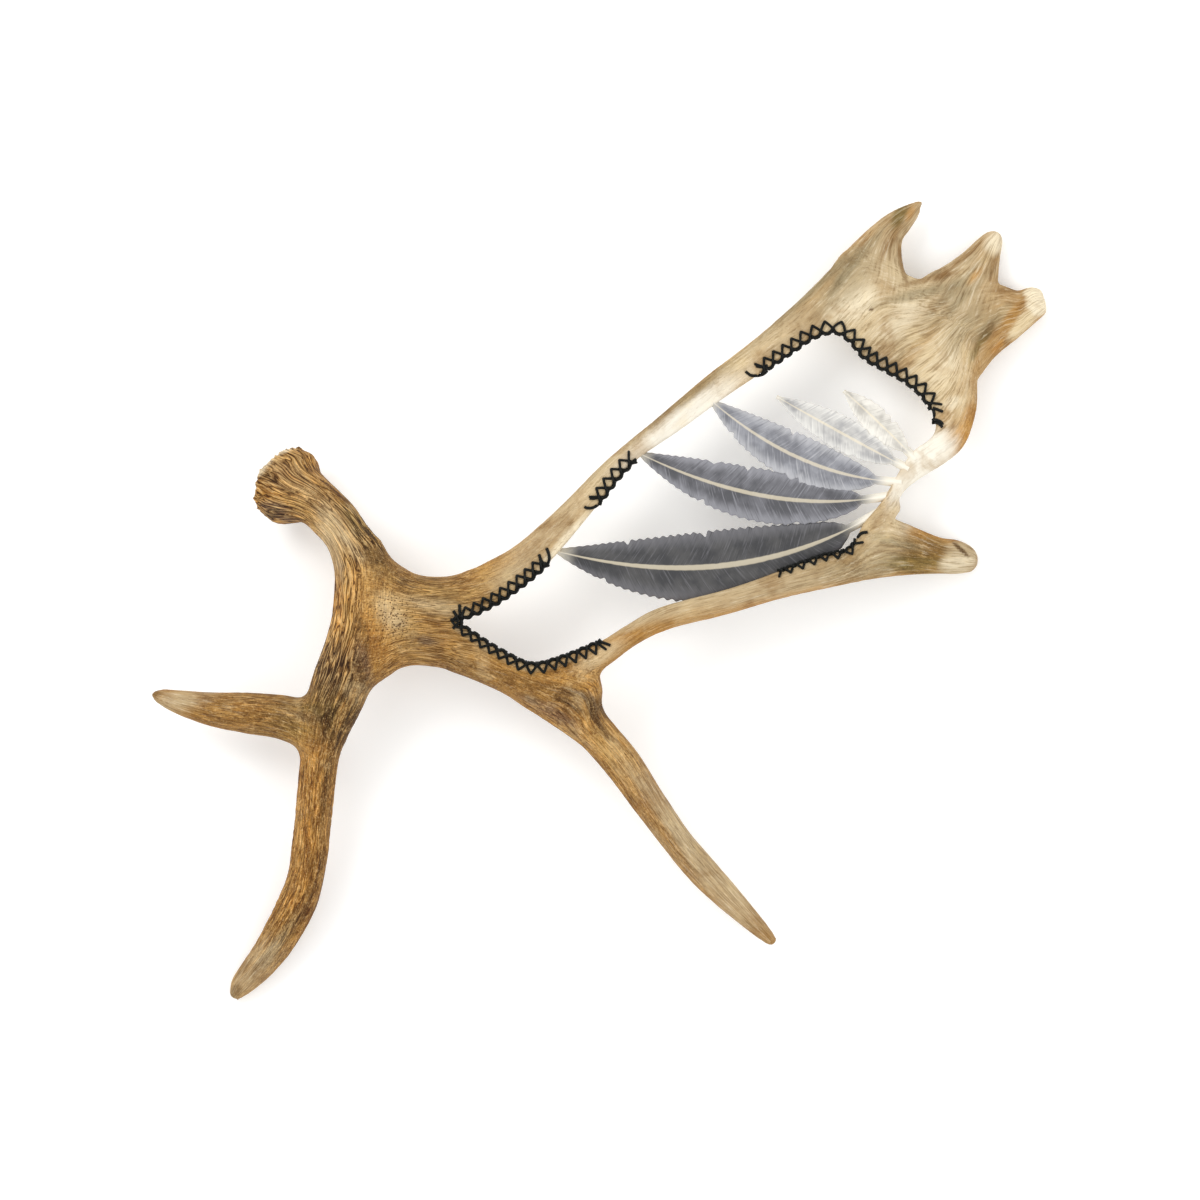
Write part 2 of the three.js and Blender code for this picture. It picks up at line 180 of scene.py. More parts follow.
@dataclass
class Shape:
    """Points in millimetres, with the quads and triangles that join them."""

    points: Array
    quads: Array
    triangles: Array

    @classmethod
    def of_rings(cls, rings: Array, first: Array, last: Array) -> "Shape":
        """Joins closed rings in a row, with a fan over both ends, and faces them outwards.

        Args:
            rings: an array of rings × points × 3.
            first: the pole under the first ring.
            last: the pole over the last ring.

        Returns:
            A closed shape.
        """
        rows, around = rings.shape[:2]
        index = np.arange(rows * around).reshape(rows, around)
        after = np.roll(index, -1, axis=1)
        quads = np.stack([index[:-1], after[:-1], after[1:], index[1:]], axis=-1).reshape(-1, 4)
        low = np.full(around, rows * around)
        under = np.stack([low, after[0], index[0]], axis=-1)
        over = np.stack([low + 1, index[-1], after[-1]], axis=-1)
        points = np.concatenate([rings.reshape(-1, 3), [first], [last]])
        shape = cls(points, quads, np.concatenate([under, over]))
        return shape if shape.volume() > 0 else shape.turned()

    def volume(self) -> float:
        """The sum over all triangles of a · (b × c) / 6, which is positive when faces point outwards."""
        halves = np.concatenate([self.quads[:, [0, 1, 2]], self.quads[:, [0, 2, 3]], self.triangles])
        a, b, c = (self.points[halves[:, k]] for k in range(3))
        return float(np.einsum("ij,ij->", a, np.cross(b, c)) / 6)

    def turned(self) -> "Shape":
        """The same shape with its faces pointing the other way."""
        return Shape(self.points, self.quads[:, ::-1], self.triangles[:, ::-1])

    def piece(self, name: str) -> bpy.types.Object:
        """A new object at the origin with this shape as its mesh, in metres."""
        mesh = bpy.data.meshes.new(name)
        mesh.from_pydata((self.points * MM).tolist(), [], self.quads.tolist() + self.triangles.tolist())
        mesh.update()
        made = bpy.data.objects.new(name, mesh)
        bpy.context.scene.collection.objects.link(made)
        return made


def joined(shapes: Sequence[Shape]) -> Shape:
    """Several shapes as one, without welding them."""
    starts = np.cumsum([0] + [len(shape.points) for shape in shapes[:-1]])
    return Shape(
        np.concatenate([shape.points for shape in shapes]),
        np.concatenate([shape.quads + start for shape, start in zip(shapes, starts)]),
        np.concatenate([shape.triangles + start for shape, start in zip(shapes, starts)]),
    )


def points_of(piece: bpy.types.Object) -> Array:
    """A piece's vertices in millimetres."""
    flat = np.empty(len(piece.data.vertices) * 3, np.float32)
    piece.data.vertices.foreach_get("co", flat)
    return flat.reshape(-1, 3).astype(float) / MM


def set_points(piece: bpy.types.Object, points: Array) -> None:
    """Moves a piece's vertices to these places in millimetres."""
    piece.data.vertices.foreach_set("co", (points * MM).astype(np.float32).ravel())
    piece.data.update()


def normals_of(piece: bpy.types.Object) -> Array:
    """A piece's vertex normals."""
    flat = np.empty(len(piece.data.vertices) * 3, np.float32)
    piece.data.vertex_normals.foreach_get("vector", flat)
    return flat.reshape(-1, 3).astype(float)


def set_attribute(piece: bpy.types.Object, name: str, values: Array, kind: str = "FLOAT_VECTOR") -> None:
    """Stores one row per vertex as a named attribute.

    Args:
        piece: the object whose mesh gets the attribute.
        name: the attribute's name.
        values: one row, or one number, per vertex.
        kind: Blender's type of attribute.
    """
    field = {"FLOAT_VECTOR": "vector", "FLOAT_COLOR": "color", "FLOAT": "value"}[kind]
    attribute = piece.data.attributes.new(name, kind, "POINT")
    attribute.data.foreach_set(field, np.ascontiguousarray(values, np.float32).ravel())


def settle(piece: bpy.types.Object, kind: str, **settings: object) -> None:
    """Adds a modifier, keeps its result as the piece's own mesh and removes it.

    Args:
        piece: the object to change.
        kind: Blender's type of modifier.
        settings: the modifier's own properties.
    """
    modifier = piece.modifiers.new(kind.lower(), kind)
    for name, value in settings.items():
        setattr(modifier, name, value)
    depsgraph = bpy.context.evaluated_depsgraph_get()
    made = bpy.data.meshes.new_from_object(piece.evaluated_get(depsgraph))
    piece.modifiers.clear()
    old, piece.data = piece.data, made
    bpy.data.meshes.remove(old)
    made.name = piece.name


def blurred(piece: bpy.types.Object, rows: Array, pull: Array, rounds: int) -> Array:
    """Draws each vertex's row of numbers towards the mean of its neighbours' rows, a number of times.

    Args:
        piece: the object whose edges tell who is a neighbour.
        rows: one row of numbers per vertex.
        pull: for each vertex, the share of the way to that mean.
        rounds: how many times.

    Returns:
        The smoothed rows.
    """
    count = len(piece.data.vertices)
    ends = np.empty(len(piece.data.edges) * 2, np.int32)
    piece.data.edges.foreach_get("vertices", ends)
    one, other = ends.reshape(-1, 2).T
    degree = np.bincount(ends, minlength=count)[:, None]
    for _ in range(rounds):
        totals = [
            np.bincount(one, column[other], count) + np.bincount(other, column[one], count)
            for column in rows.T
        ]
        rows = rows + pull[:, None] * (np.stack(totals, axis=1) / degree - rows)
    return rows


def melted(piece: bpy.types.Object, pull: Array, rounds: int, passes: int = 3) -> Array:
    """Blurs a piece's places and keeps its large form.

    What a blur takes away is blurred again and given back, pass after pass, so that creases melt while the
    width of a limb stays.

    Args:
        piece: the object whose vertices are blurred.
        pull: for each vertex, the share of the way to the mean of its neighbours.
        rounds: how many times each pass draws it there.
        passes: how many times the loss is given back, the first blur included.

    Returns:
        The places in millimetres.
    """
    left = points_of(piece)
    kept = np.zeros_like(left)
    for _ in range(passes):
        soft = blurred(piece, left, pull, rounds)
        kept, left = kept + soft, left - soft
    return kept


def take_in(one: bpy.types.Object, other: bpy.types.Object) -> None:
    """Adds another object's mesh to the first, and removes the other."""
    both = bmesh.new()
    both.from_mesh(one.data)
    both.from_mesh(other.data)
    both.to_mesh(one.data)
    both.free()
    bpy.data.objects.remove(other)


def finish_piece(
    piece: bpy.types.Object, material: bpy.types.Material, nodes: Sequence[str] = ()
) -> None:
    """Shades a piece smooth, gives it its material, and ties it to the frame.

    Args:
        piece: the finished object.
        material: its finish.
        nodes: the CAD nodes that it stands for.
    """
    piece.data.materials.clear()
    piece.data.materials.append(material)
    piece.data.shade_smooth()
    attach(piece, ROOT)
    if nodes:
        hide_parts(*nodes)
    log.info("%s: %d faces", piece.name, len(piece.data.polygons))


def new_material(name: str) -> tuple[bpy.types.Material, bpy.types.NodeTree, bpy.types.Node]:
    """A new material, with its node tree and its shader."""
    material = bpy.data.materials.new(name)
    material.use_nodes = True
    return material, material.node_tree, material.node_tree.nodes["Principled BSDF"]


def add(
    tree: bpy.types.NodeTree, kind: str, inputs: dict | None = None, **settings: object
) -> bpy.types.Node:
    """Adds one node to a material.

    Args:
        tree: the material's node tree.
        kind: Blender's type of node.
        inputs: for an input's name or number, a socket to link or a value to set.
        settings: the node's own properties.

    Returns:
        The node.
    """
    node = tree.nodes.new(kind)
    for name, value in settings.items():
        setattr(node, name, value)
    for key, value in (inputs or {}).items():
        if isinstance(value, bpy.types.NodeSocket):
            tree.links.new(value, node.inputs[key])
        else:
            node.inputs[key].default_value = value
    return node


@dataclass(frozen=True)
class Coat:
    """A thin layer of colour that lies where a mask has certain values.

    Attributes:
        mask: the socket that the mask comes from.
        bare: the mask's value up to which nothing is laid on.
        full: the mask's value from which the coat is full. It may lie below the other.
        strength: how much it covers where it is full, from 0 to 1.
        colour: its colour.
        mode: how it is mixed into the colour below.
        where: a second socket that its cover is multiplied by.
    """

    mask: bpy.types.NodeSocket
    bare: float
    full: float
    strength: float
    colour: str
    mode: str = "MIX"
    where: bpy.types.NodeSocket | None = None


def coated(tree: bpy.types.NodeTree, ground: object, coats: Sequence[Coat]) -> bpy.types.NodeSocket:
    """Lays coats on a ground colour, one over the other.

    Args:
        tree: the material's node tree.
        ground: the lowest colour, as a socket or a linear colour.
        coats: the layers, the lowest first.

    Returns:
        The colour that shows.
    """
    tone = ground
    for coat in coats:
        reach = {"Value": coat.mask, "From Min": coat.bare, "From Max": coat.full, "To Max": coat.strength}
        cover = add(tree, "ShaderNodeMapRange", reach, interpolation_type="SMOOTHSTEP").outputs[0]
        if coat.where:
            cover = add(tree, "ShaderNodeMath", {0: cover, 1: coat.where}, operation="MULTIPLY").outputs[0]
        layers = {0: cover, 6: tone, 7: linear(coat.colour)}
        tone = add(tree, "ShaderNodeMix", layers, data_type="RGBA", blend_type=coat.mode).outputs[2]
    return tone


# ---------------------------------------------------------------------------------------------------------
# Limbs
# ---------------------------------------------------------------------------------------------------------


class Grain(Enum):
    """Which of three sets of grain coordinates a limb writes, so that crossing limbs never share one."""

    STEM = 0
    PALM = 1
    BRANCH = 2


@dataclass
class Sections:
    """The frames along a limb, one row for each section.

    Attributes:
        middle: where the section's middle lies.
        across: from the middle to its left edge.
        up: the unit vector out of its face.
        normal: the unit vector along the limb.
        half: its half width.
        depth: its half depth.
        lift: how far it lies above the dome.
        length: how far along the limb it stands.
    """

    middle: Array
    across: Array
    up: Array
    normal: Array
    half: Array
    depth: Array
    lift: Array
    length: Array


@dataclass(frozen=True)
class Limb:
    """A limb: an outline of two edges seen from above, with a half depth and a lift over the dome.

    Attributes:
        grain: the set of grain coordinates that it writes.
        stations: rows of left x and y, right x and y, half depth and lift.
        ridges: how deeply its surface is grooved, from 0 to 1.
        roundness: the exponent of its section, 2 for an ellipse and more for a flatter one.
        tip: how far its rounded end reaches past the last station.
        buried: whether it starts inside another limb.
    """

    grain: Grain
    stations: Sequence[tuple[float, ...]]
    ridges: float
    roundness: float = 2.0
    tip: float = 0.0
    buried: bool = True

    STEPS = 10
    AROUND = 56
    TIP_RINGS = 6
    # How far from its outline a limb still tells the grain, and how far from its buried start it begins to.
    REACH = 30.0
    BURIED_LENGTH = 24.0
    # The half widths and half depths within which a point costs nothing, and what each millimetre past
    # them costs.
    ASIDE = 1.25
    ABOVE = 1.5
    CHARGE = 4
    # The millimetres past the limb's ends that are free, and those over which its hold fades.
    SLACK = 3
    FADE = 6

    def sections(self) -> Sections:
        """The limb's frames, from a spline through its stations."""
        ax, ay, bx, by, depth, lift = spline(self.stations, self.STEPS).T
        x, y = (ax + bx) / 2, (ay + by) / 2
        middle = np.stack([x, y, DOME.height(x, y) + lift], axis=1)
        across = np.stack([(ax - bx) / 2, (ay - by) / 2, np.zeros_like(x)], axis=1)
        along = unit(np.gradient(middle, axis=0))
        up = unit(np.cross(along, across))
        up *= np.sign(up[:, 2:])
        normal = unit(np.cross(across, up))
        normal *= np.sign(np.einsum("ij,ij->i", normal, along))[:, None]
        length = np.concatenate([[0], np.cumsum(np.linalg.norm(np.diff(middle, axis=0), axis=1))])
        half = np.linalg.norm(across, axis=1)
        return Sections(middle, across, up, normal, half, depth, lift, length)

    def surface(self) -> Shape:
        """The limb's skin: a superellipse carried along its frames and rounded at the tip.

        A ring's point is middle + across·c + up·depth·s. Here c and s are the cosine and sine of an angle,
        each raised to 2 / roundness with its sign kept. The point is draped on the dome before its up part
        is added. At the tip a quarter ellipse shrinks the rings to a point.
        """
        frames = self.sections()
        turn = np.linspace(0, math.pi / 2, self.TIP_RINGS + 1)[1:-1] if self.tip else np.empty(0)
        forward = np.concatenate([np.zeros(len(frames.middle)), self.tip * np.sin(turn)])
        shrink = np.concatenate([np.ones(len(frames.middle)), np.cos(turn)])
        row = np.minimum(np.arange(len(forward)), len(frames.middle) - 1)
        heading = frames.normal[-1]
        middle = frames.middle[row] + forward[:, None] * heading
        angle = np.linspace(0, 2 * math.pi, self.AROUND, endpoint=False)
        side, height = (
            np.sign(wave) * np.abs(wave) ** (2 / self.roundness) for wave in (np.cos(angle), np.sin(angle))
        )
        rings = middle[:, None] + (shrink[:, None] * frames.across[row])[:, None] * side[None, :, None]
        rings[..., 2] = DOME.height(rings[..., 0], rings[..., 1]) + frames.lift[row][:, None]
        rings += frames.up[row][:, None] * (shrink * frames.depth[row])[:, None, None] * height[None, :, None]
        return Shape.of_rings(rings, frames.middle[0], frames.middle[-1] + self.tip * heading)

    def follow(self, points: Array) -> tuple[Array, Array, Array]:
        """Finds where points lie along the limb.

        For each point the nearest section is the one with the least distance to its plane, with a charge
        for lying outside its outline.

        Args:
            points: rows of places in millimetres.

        Returns:
            Grain coordinates (across, up, along) in millimetres, a closeness from 0 to 1, and the limb's
            half depth there.
        """
        frames = self.sections()
        coordinates = np.zeros((len(points), 3))
        closeness, thickness = np.zeros((2, len(points)))
        margin = frames.half.max() + self.REACH
        low, high = frames.middle.min(0) - margin, frames.middle.max(0) + margin
        near = np.flatnonzero(np.all((points > low) & (points < high), axis=1))
        if not len(near):
            return coordinates, closeness, thickness
        here = points[near]
        best = np.full(len(near), np.inf)
        found = np.zeros((len(near), 6))
        sides = unit(frames.across)
        for k in range(len(frames.middle)):
            offset = here - frames.middle[k]
            ahead, aside, above = offset @ frames.normal[k], offset @ sides[k], offset @ frames.up[k]
            outside = np.maximum(np.abs(aside) - self.ASIDE * frames.half[k], 0)
            outside += np.maximum(np.abs(above) - self.ABOVE * frames.depth[k], 0)
            cost = np.abs(ahead) + self.CHARGE * outside
            better = cost < best
            best[better] = cost[better]
            values = (ahead, aside, above, frames.half[k], frames.depth[k], frames.length[k])
            for column, value in enumerate(values):
                found[better, column] = value[better] if isinstance(value, np.ndarray) else value
        ahead, aside, above, half, depth, length = found.T
        excess = np.maximum(np.abs(aside) - half, 0) + np.maximum(np.abs(above) - depth, 0)
        excess += np.maximum(np.abs(ahead) - self.SLACK, 0)
        coordinates[near] = np.stack(
            [aside / half * frames.half.mean(), above / depth * frames.depth.mean(), length + ahead], axis=1
        )
        closeness[near] = np.exp(-excess / self.FADE)
        if self.buried:
            closeness[near] *= ease(length, 0, self.BURIED_LENGTH)
        thickness[near] = depth
        return coordinates, closeness, thickness


MAIN_LINE = Limb(
    Grain.STEM,
    [
        (-252.5, 125, -283, 71, 31.5, -28.4), (-244, 122, -277, 65.5, 26, -22.4),
        (-240, 111, -267, 65, 23.5, -16.2), (-232, 102, -252, 65, 21.5, -10.4),
        (-210, 81, -241, 56, 19.5, -6), (-195, 60, -230, 43, 19.5, -2), (-178, 38, -224, 23, 21, 0),
        (-175, 8, -224, 4, 23, 0), (-177, -22, -227, -20, 24, 0), (-184, -50, -234, -43, 24, 0),
        (-193, -77, -244, -69, 23, -1), (-205, -100, -251, -95, 21, -3), (-214, -118, -254, -122, 19, -6),
        (-221, -137, -254, -139, 17, -8), (-227, -184, -258, -184, 15.5, -11),
        (-232, -230, -264, -229, 16, -17), (-242, -265, -273, -255, 15.5, -22),
        (-262, -299, -289, -286, 13.5, -26), (-279, -319, -304, -309, 11, -27),
        (-295, -333, -313, -324, 8, -26.8), (-306, -340, -315, -335, 4.5, -26),
    ],
    ridges=1.0, tip=2, buried=False,
)
FRONT_TINE = Limb(
    Grain.BRANCH,
    [
        (-221, -96, -224, -141, 18, -5), (-246, -85, -252, -128, 19, -6), (-269, -81, -273, -118, 17.5, -8),
        (-299, -79, -302, -113, 15.5, -10), (-328, -79, -332, -107, 12.5, -9),
        (-354, -77, -357, -98, 8.5, -6), (-371, -76, -372, -90, 5, -3), (-378, -78, -379, -84, 2.2, -1),
    ],
    ridges=0.7, tip=1.5,
)
TRAILING_TINE = Limb(
    Grain.BRANCH,
    [
        (-110, -28, -128, -60, 19, 0), (-76, -45, -92, -75, 18, 0), (-41, -55, -62, -92, 18, 0),
        (-2, -64, -41, -106, 18, -1), (2, -91, -22, -119, 17, -3), (13, -107, -11, -128, 16, -5),
        (32, -130, 7, -149, 14.5, -8), (54, -165, 30, -180, 13, -12), (75, -196, 53, -210, 12.5, -16),
        (97, -222, 76, -238, 11.5, -20), (115, -243, 98, -259, 10, -22), (133, -265, 120, -277, 8.2, -23),
        (144, -279, 133, -287, 7, -23), (149.5, -287.5, 142, -293, 5.2, -23),
    ],
    ridges=0.75, tip=3,
)
PALM = Limb(
    Grain.PALM,
    [
        (-211, 46, -221, -82, 22, 0), (-180, 36, -191, -73, 22, 0), (-157, 22, -165, -57, 21, 0),
        (-131, 19, -135, -58, 18.5, 0), (-100, 28, -102, -70, 15, 0), (-65, 49, -45, -82, 12, 0),
        (-34, 75, -2, -58, 10, 0), (5, 113, 34, -32, 8.5, 0), (47, 150, 79, -14, 8, 0),
        (91, 187, 125, -2, 7.5, 0), (135, 222, 182, 15, 7.5, 0), (169, 252, 249, 68, 7.5, 0),
        (181, 264, 253, 84, 7.5, 0), (192, 276, 266, 98, 7.5, 0), (211, 297, 304, 124, 7.5, 0),
        (238, 286, 318, 155, 7.2, -1), (262, 274, 320, 186, 7, -2), (282, 268, 322, 208, 6.5, -2),
    ],
    ridges=0.7, roundness=3.2,
)
UPPER_RIM = Limb(
    Grain.STEM,
    [
        (-117, 22, -110, -6, 15, 0), (-76, 43, -65, 18, 12, 0), (-34, 78, -20, 60, 10, 0),
        (4, 116, 19, 103, 9.5, 0), (47, 152, 61, 139, 9.5, 0), (88, 187, 101, 172, 9, 0),
        (132, 221, 144, 204, 8.5, 0), (170, 255, 189, 233, 8, 0), (202, 287, 225, 261, 7.5, 0),
    ],
    ridges=0.6,
)
LOWER_RIM = Limb(
    Grain.STEM,
    [
        (-17, -45, -1, -64, 12, 0), (19, -26, 29, -40, 10.5, 0), (53, -7, 60, -25, 10, 0),
        (99, 6, 104, -14, 10, 0), (150, 21, 156, 1, 10, 0), (197, 37, 202, 11, 10, -1),
        (231, 73, 235, 17, 10, -3), (254, 66, 262, 20, 10, -9), (286, 53, 286, 21, 9.5, -18),
        (304, 50, 303, 21, 9, -25), (316, 44, 315, 23, 6.5, -29), (320, 37, 320, 28, 2.5, -31),
    ],
    ridges=0.65, tip=1,
)
FIRST_POINT = Limb(
    Grain.BRANCH,
    [
        (180, 264, 255, 229, 7.5, 0), (196, 281, 262, 262, 7.5, 0), (212, 299, 257, 283, 7.5, 0),
        (229, 315, 256, 302, 7, 0), (243, 326, 262, 312, 5.5, 0), (258, 334, 270, 324, 3.6, -1),
        (271, 339, 274, 336, 1.6, -2),
    ],
    ridges=0.5, roundness=2.6, tip=1,
)
SECOND_POINT = Limb(
    Grain.STEM,
    [
        (255, 254, 327, 224, 7, 0), (274, 273, 334, 254, 7, 0), (291, 282, 338, 270, 7.5, -1),
        (308, 294, 339, 284, 8, -2), (320, 305, 341, 297, 7.5, -2.5), (328, 311, 342, 303, 5.5, -3),
        (333, 313, 341, 309, 2.5, -4),
    ],
    ridges=0.4, roundness=2.6, tip=1,
)
THIRD_POINT = Limb(
    Grain.BRANCH,
    [
        (310, 263, 302, 169, 7, -1), (325, 266, 319, 185, 7.5, -2), (340, 267, 335, 205, 8, -2.5),
        (354, 262, 353, 220, 8.5, -2.5), (366, 265, 370, 235, 9, -2.5), (374, 263, 379, 243, 8.5, -2.5),
    ],
    ridges=0.4, roundness=2.6,
)
LIMBS = (
    MAIN_LINE, FRONT_TINE, TRAILING_TINE, PALM, UPPER_RIM, LOWER_RIM,
    FIRST_POINT, SECOND_POINT, THIRD_POINT,
)

# The cut-out's edge seen from above, from its corner by the neck along the upper rim and back.
CUT_OUT = [
    (-118, -19), (-102, -11), (-85, -2), (-65, 12), (-46, 28), (-32, 43), (-17, 61), (0, 82),
    (17, 104), (34, 120), (68, 143), (102, 168), (133, 189), (162, 209), (180, 221), (198, 226),
    (211, 219), (224, 204), (241, 194), (260, 183), (275, 169), (284, 151), (281, 137), (265, 125),
    (252, 106), (238, 82), (223, 64), (211, 43), (187, 36), (153, 24), (110, 9), (51, -7),
    (21, -23), (0, -36), (-34, -50), (-58, -55), (-81, -45), (-104, -31),
]


class CutOut:
    """The sawn edge of the palm's cut-out, as a closed line measured along its own length."""

    STEPS = 24
    # The millimetres to either side that tell the edge's direction, and the distance that is told at most.
    STEP = 0.8
    FAR = 40.0
    # The heights of the saw block's ends.
    BLOCK = (-60.0, 200.0)

    def __init__(self) -> None:
        """Works out the edge and the length along it."""
        line = spline(CUT_OUT, self.STEPS, closed=True)
        self.line = np.concatenate([line, line[:1]])
        self.length = np.concatenate([[0], np.cumsum(np.linalg.norm(np.diff(self.line, axis=0), axis=1))])

    @property
    def whole(self) -> float:
        """The length all the way round."""
        return float(self.length[-1])

    def at(self, shares: Array, inset: Array | float = 0.0) -> Array:
        """Places on the plan at shares of the length, moved into the antler by an inset."""
        along = np.mod(shares, 1) * self.whole
        before, here, after = (
            np.column_stack([np.interp(spot, self.length, column) for column in self.line.T])
            for spot in (np.mod(along + step, self.whole) for step in (-self.STEP, 0, self.STEP))
        )
        heading = unit(after - before)
        outward = np.stack([-heading[:, 1], heading[:, 0]], axis=1)
        return here + outward * np.broadcast_to(inset, (len(along),))[:, None]

    def distance(self, points: Array) -> Array:
        """How far rows of places lie from the edge on the plan, up to a limit."""
        nearest = np.full(len(points), self.FAR)
        for x, y in self.line[::4]:
            nearest = np.minimum(nearest, np.hypot(points[:, 0] - x, points[:, 1] - y))
        return nearest

    def block(self) -> Shape:
        """The block that the saw takes out, as two rings far above and below the palm."""
        ring = self.line[:-1:3]
        low, high = (np.column_stack([ring, np.full(len(ring), z)]) for z in self.BLOCK)
        return Shape.of_rings(np.stack([low, high]), low.mean(0), high.mean(0))


# ---------------------------------------------------------------------------------------------------------
# Antler
# ---------------------------------------------------------------------------------------------------------


class Tone(Enum):
    """The tones that weather, handling and the saw have left on the antler, a few laid partly as painted
    shade.
    """

    STRAW = "#c6a062"
    GOLDEN = "#c28d45"
    TAN = "#ab7f40"
    BROWN = "#825e2e"
    UMBER = "#5d4222"
    PLUM = "#6a5040"
    OLIVE = "#70602f"
    ASH = "#8d8062"
    BEIGE = "#b9a582"
    SAND = "#d8c49e"
    CREAM = "#eaddc0"
    IVORY = "#efe9da"
    OCHRE = "#c38d42"


@dataclass(frozen=True)
class Stain:
    """A soft-edged oval of another tone.

    Attributes:
        tone: its tone.
        x: its middle.
        y: its middle.
        long: half its length.
        wide: half its width.
        turn: the direction of its length, in degrees from +X.
        strength: how much of the tone it brings, from 0 to 1.
        crisp: 0 for a slow fade and 1 for a sharp edge.
    """

    tone: Tone
    x: float
    y: float
    long: float
    wide: float
    turn: float = 0.0
    strength: float = 1.0
    crisp: float = 0.2

    # How far noise moves its edge, the least width of its fade to either side, and what softness adds to
    # that, all as shares of the oval.
    RAGGED = 0.55
    SHARPEST = 0.06
    SOFTER = 0.75

    def cover(self, points: Array, ragged: Array) -> Array:
        """How much it covers each point: 1 inside the oval, falling to 0 across a ragged edge."""
        angle = math.radians(self.turn)
        dx, dy = points[:, 0] - self.x, points[:, 1] - self.y
        along = (dx * math.cos(angle) + dy * math.sin(angle)) / self.long
        across = (dy * math.cos(angle) - dx * math.sin(angle)) / self.wide
        distance = np.hypot(along, across) + self.RAGGED * (ragged - 0.5)
        fade = self.SOFTER * (1 - self.crisp) + self.SHARPEST
        return self.strength * ease(distance, 1 + fade, 1 - fade)


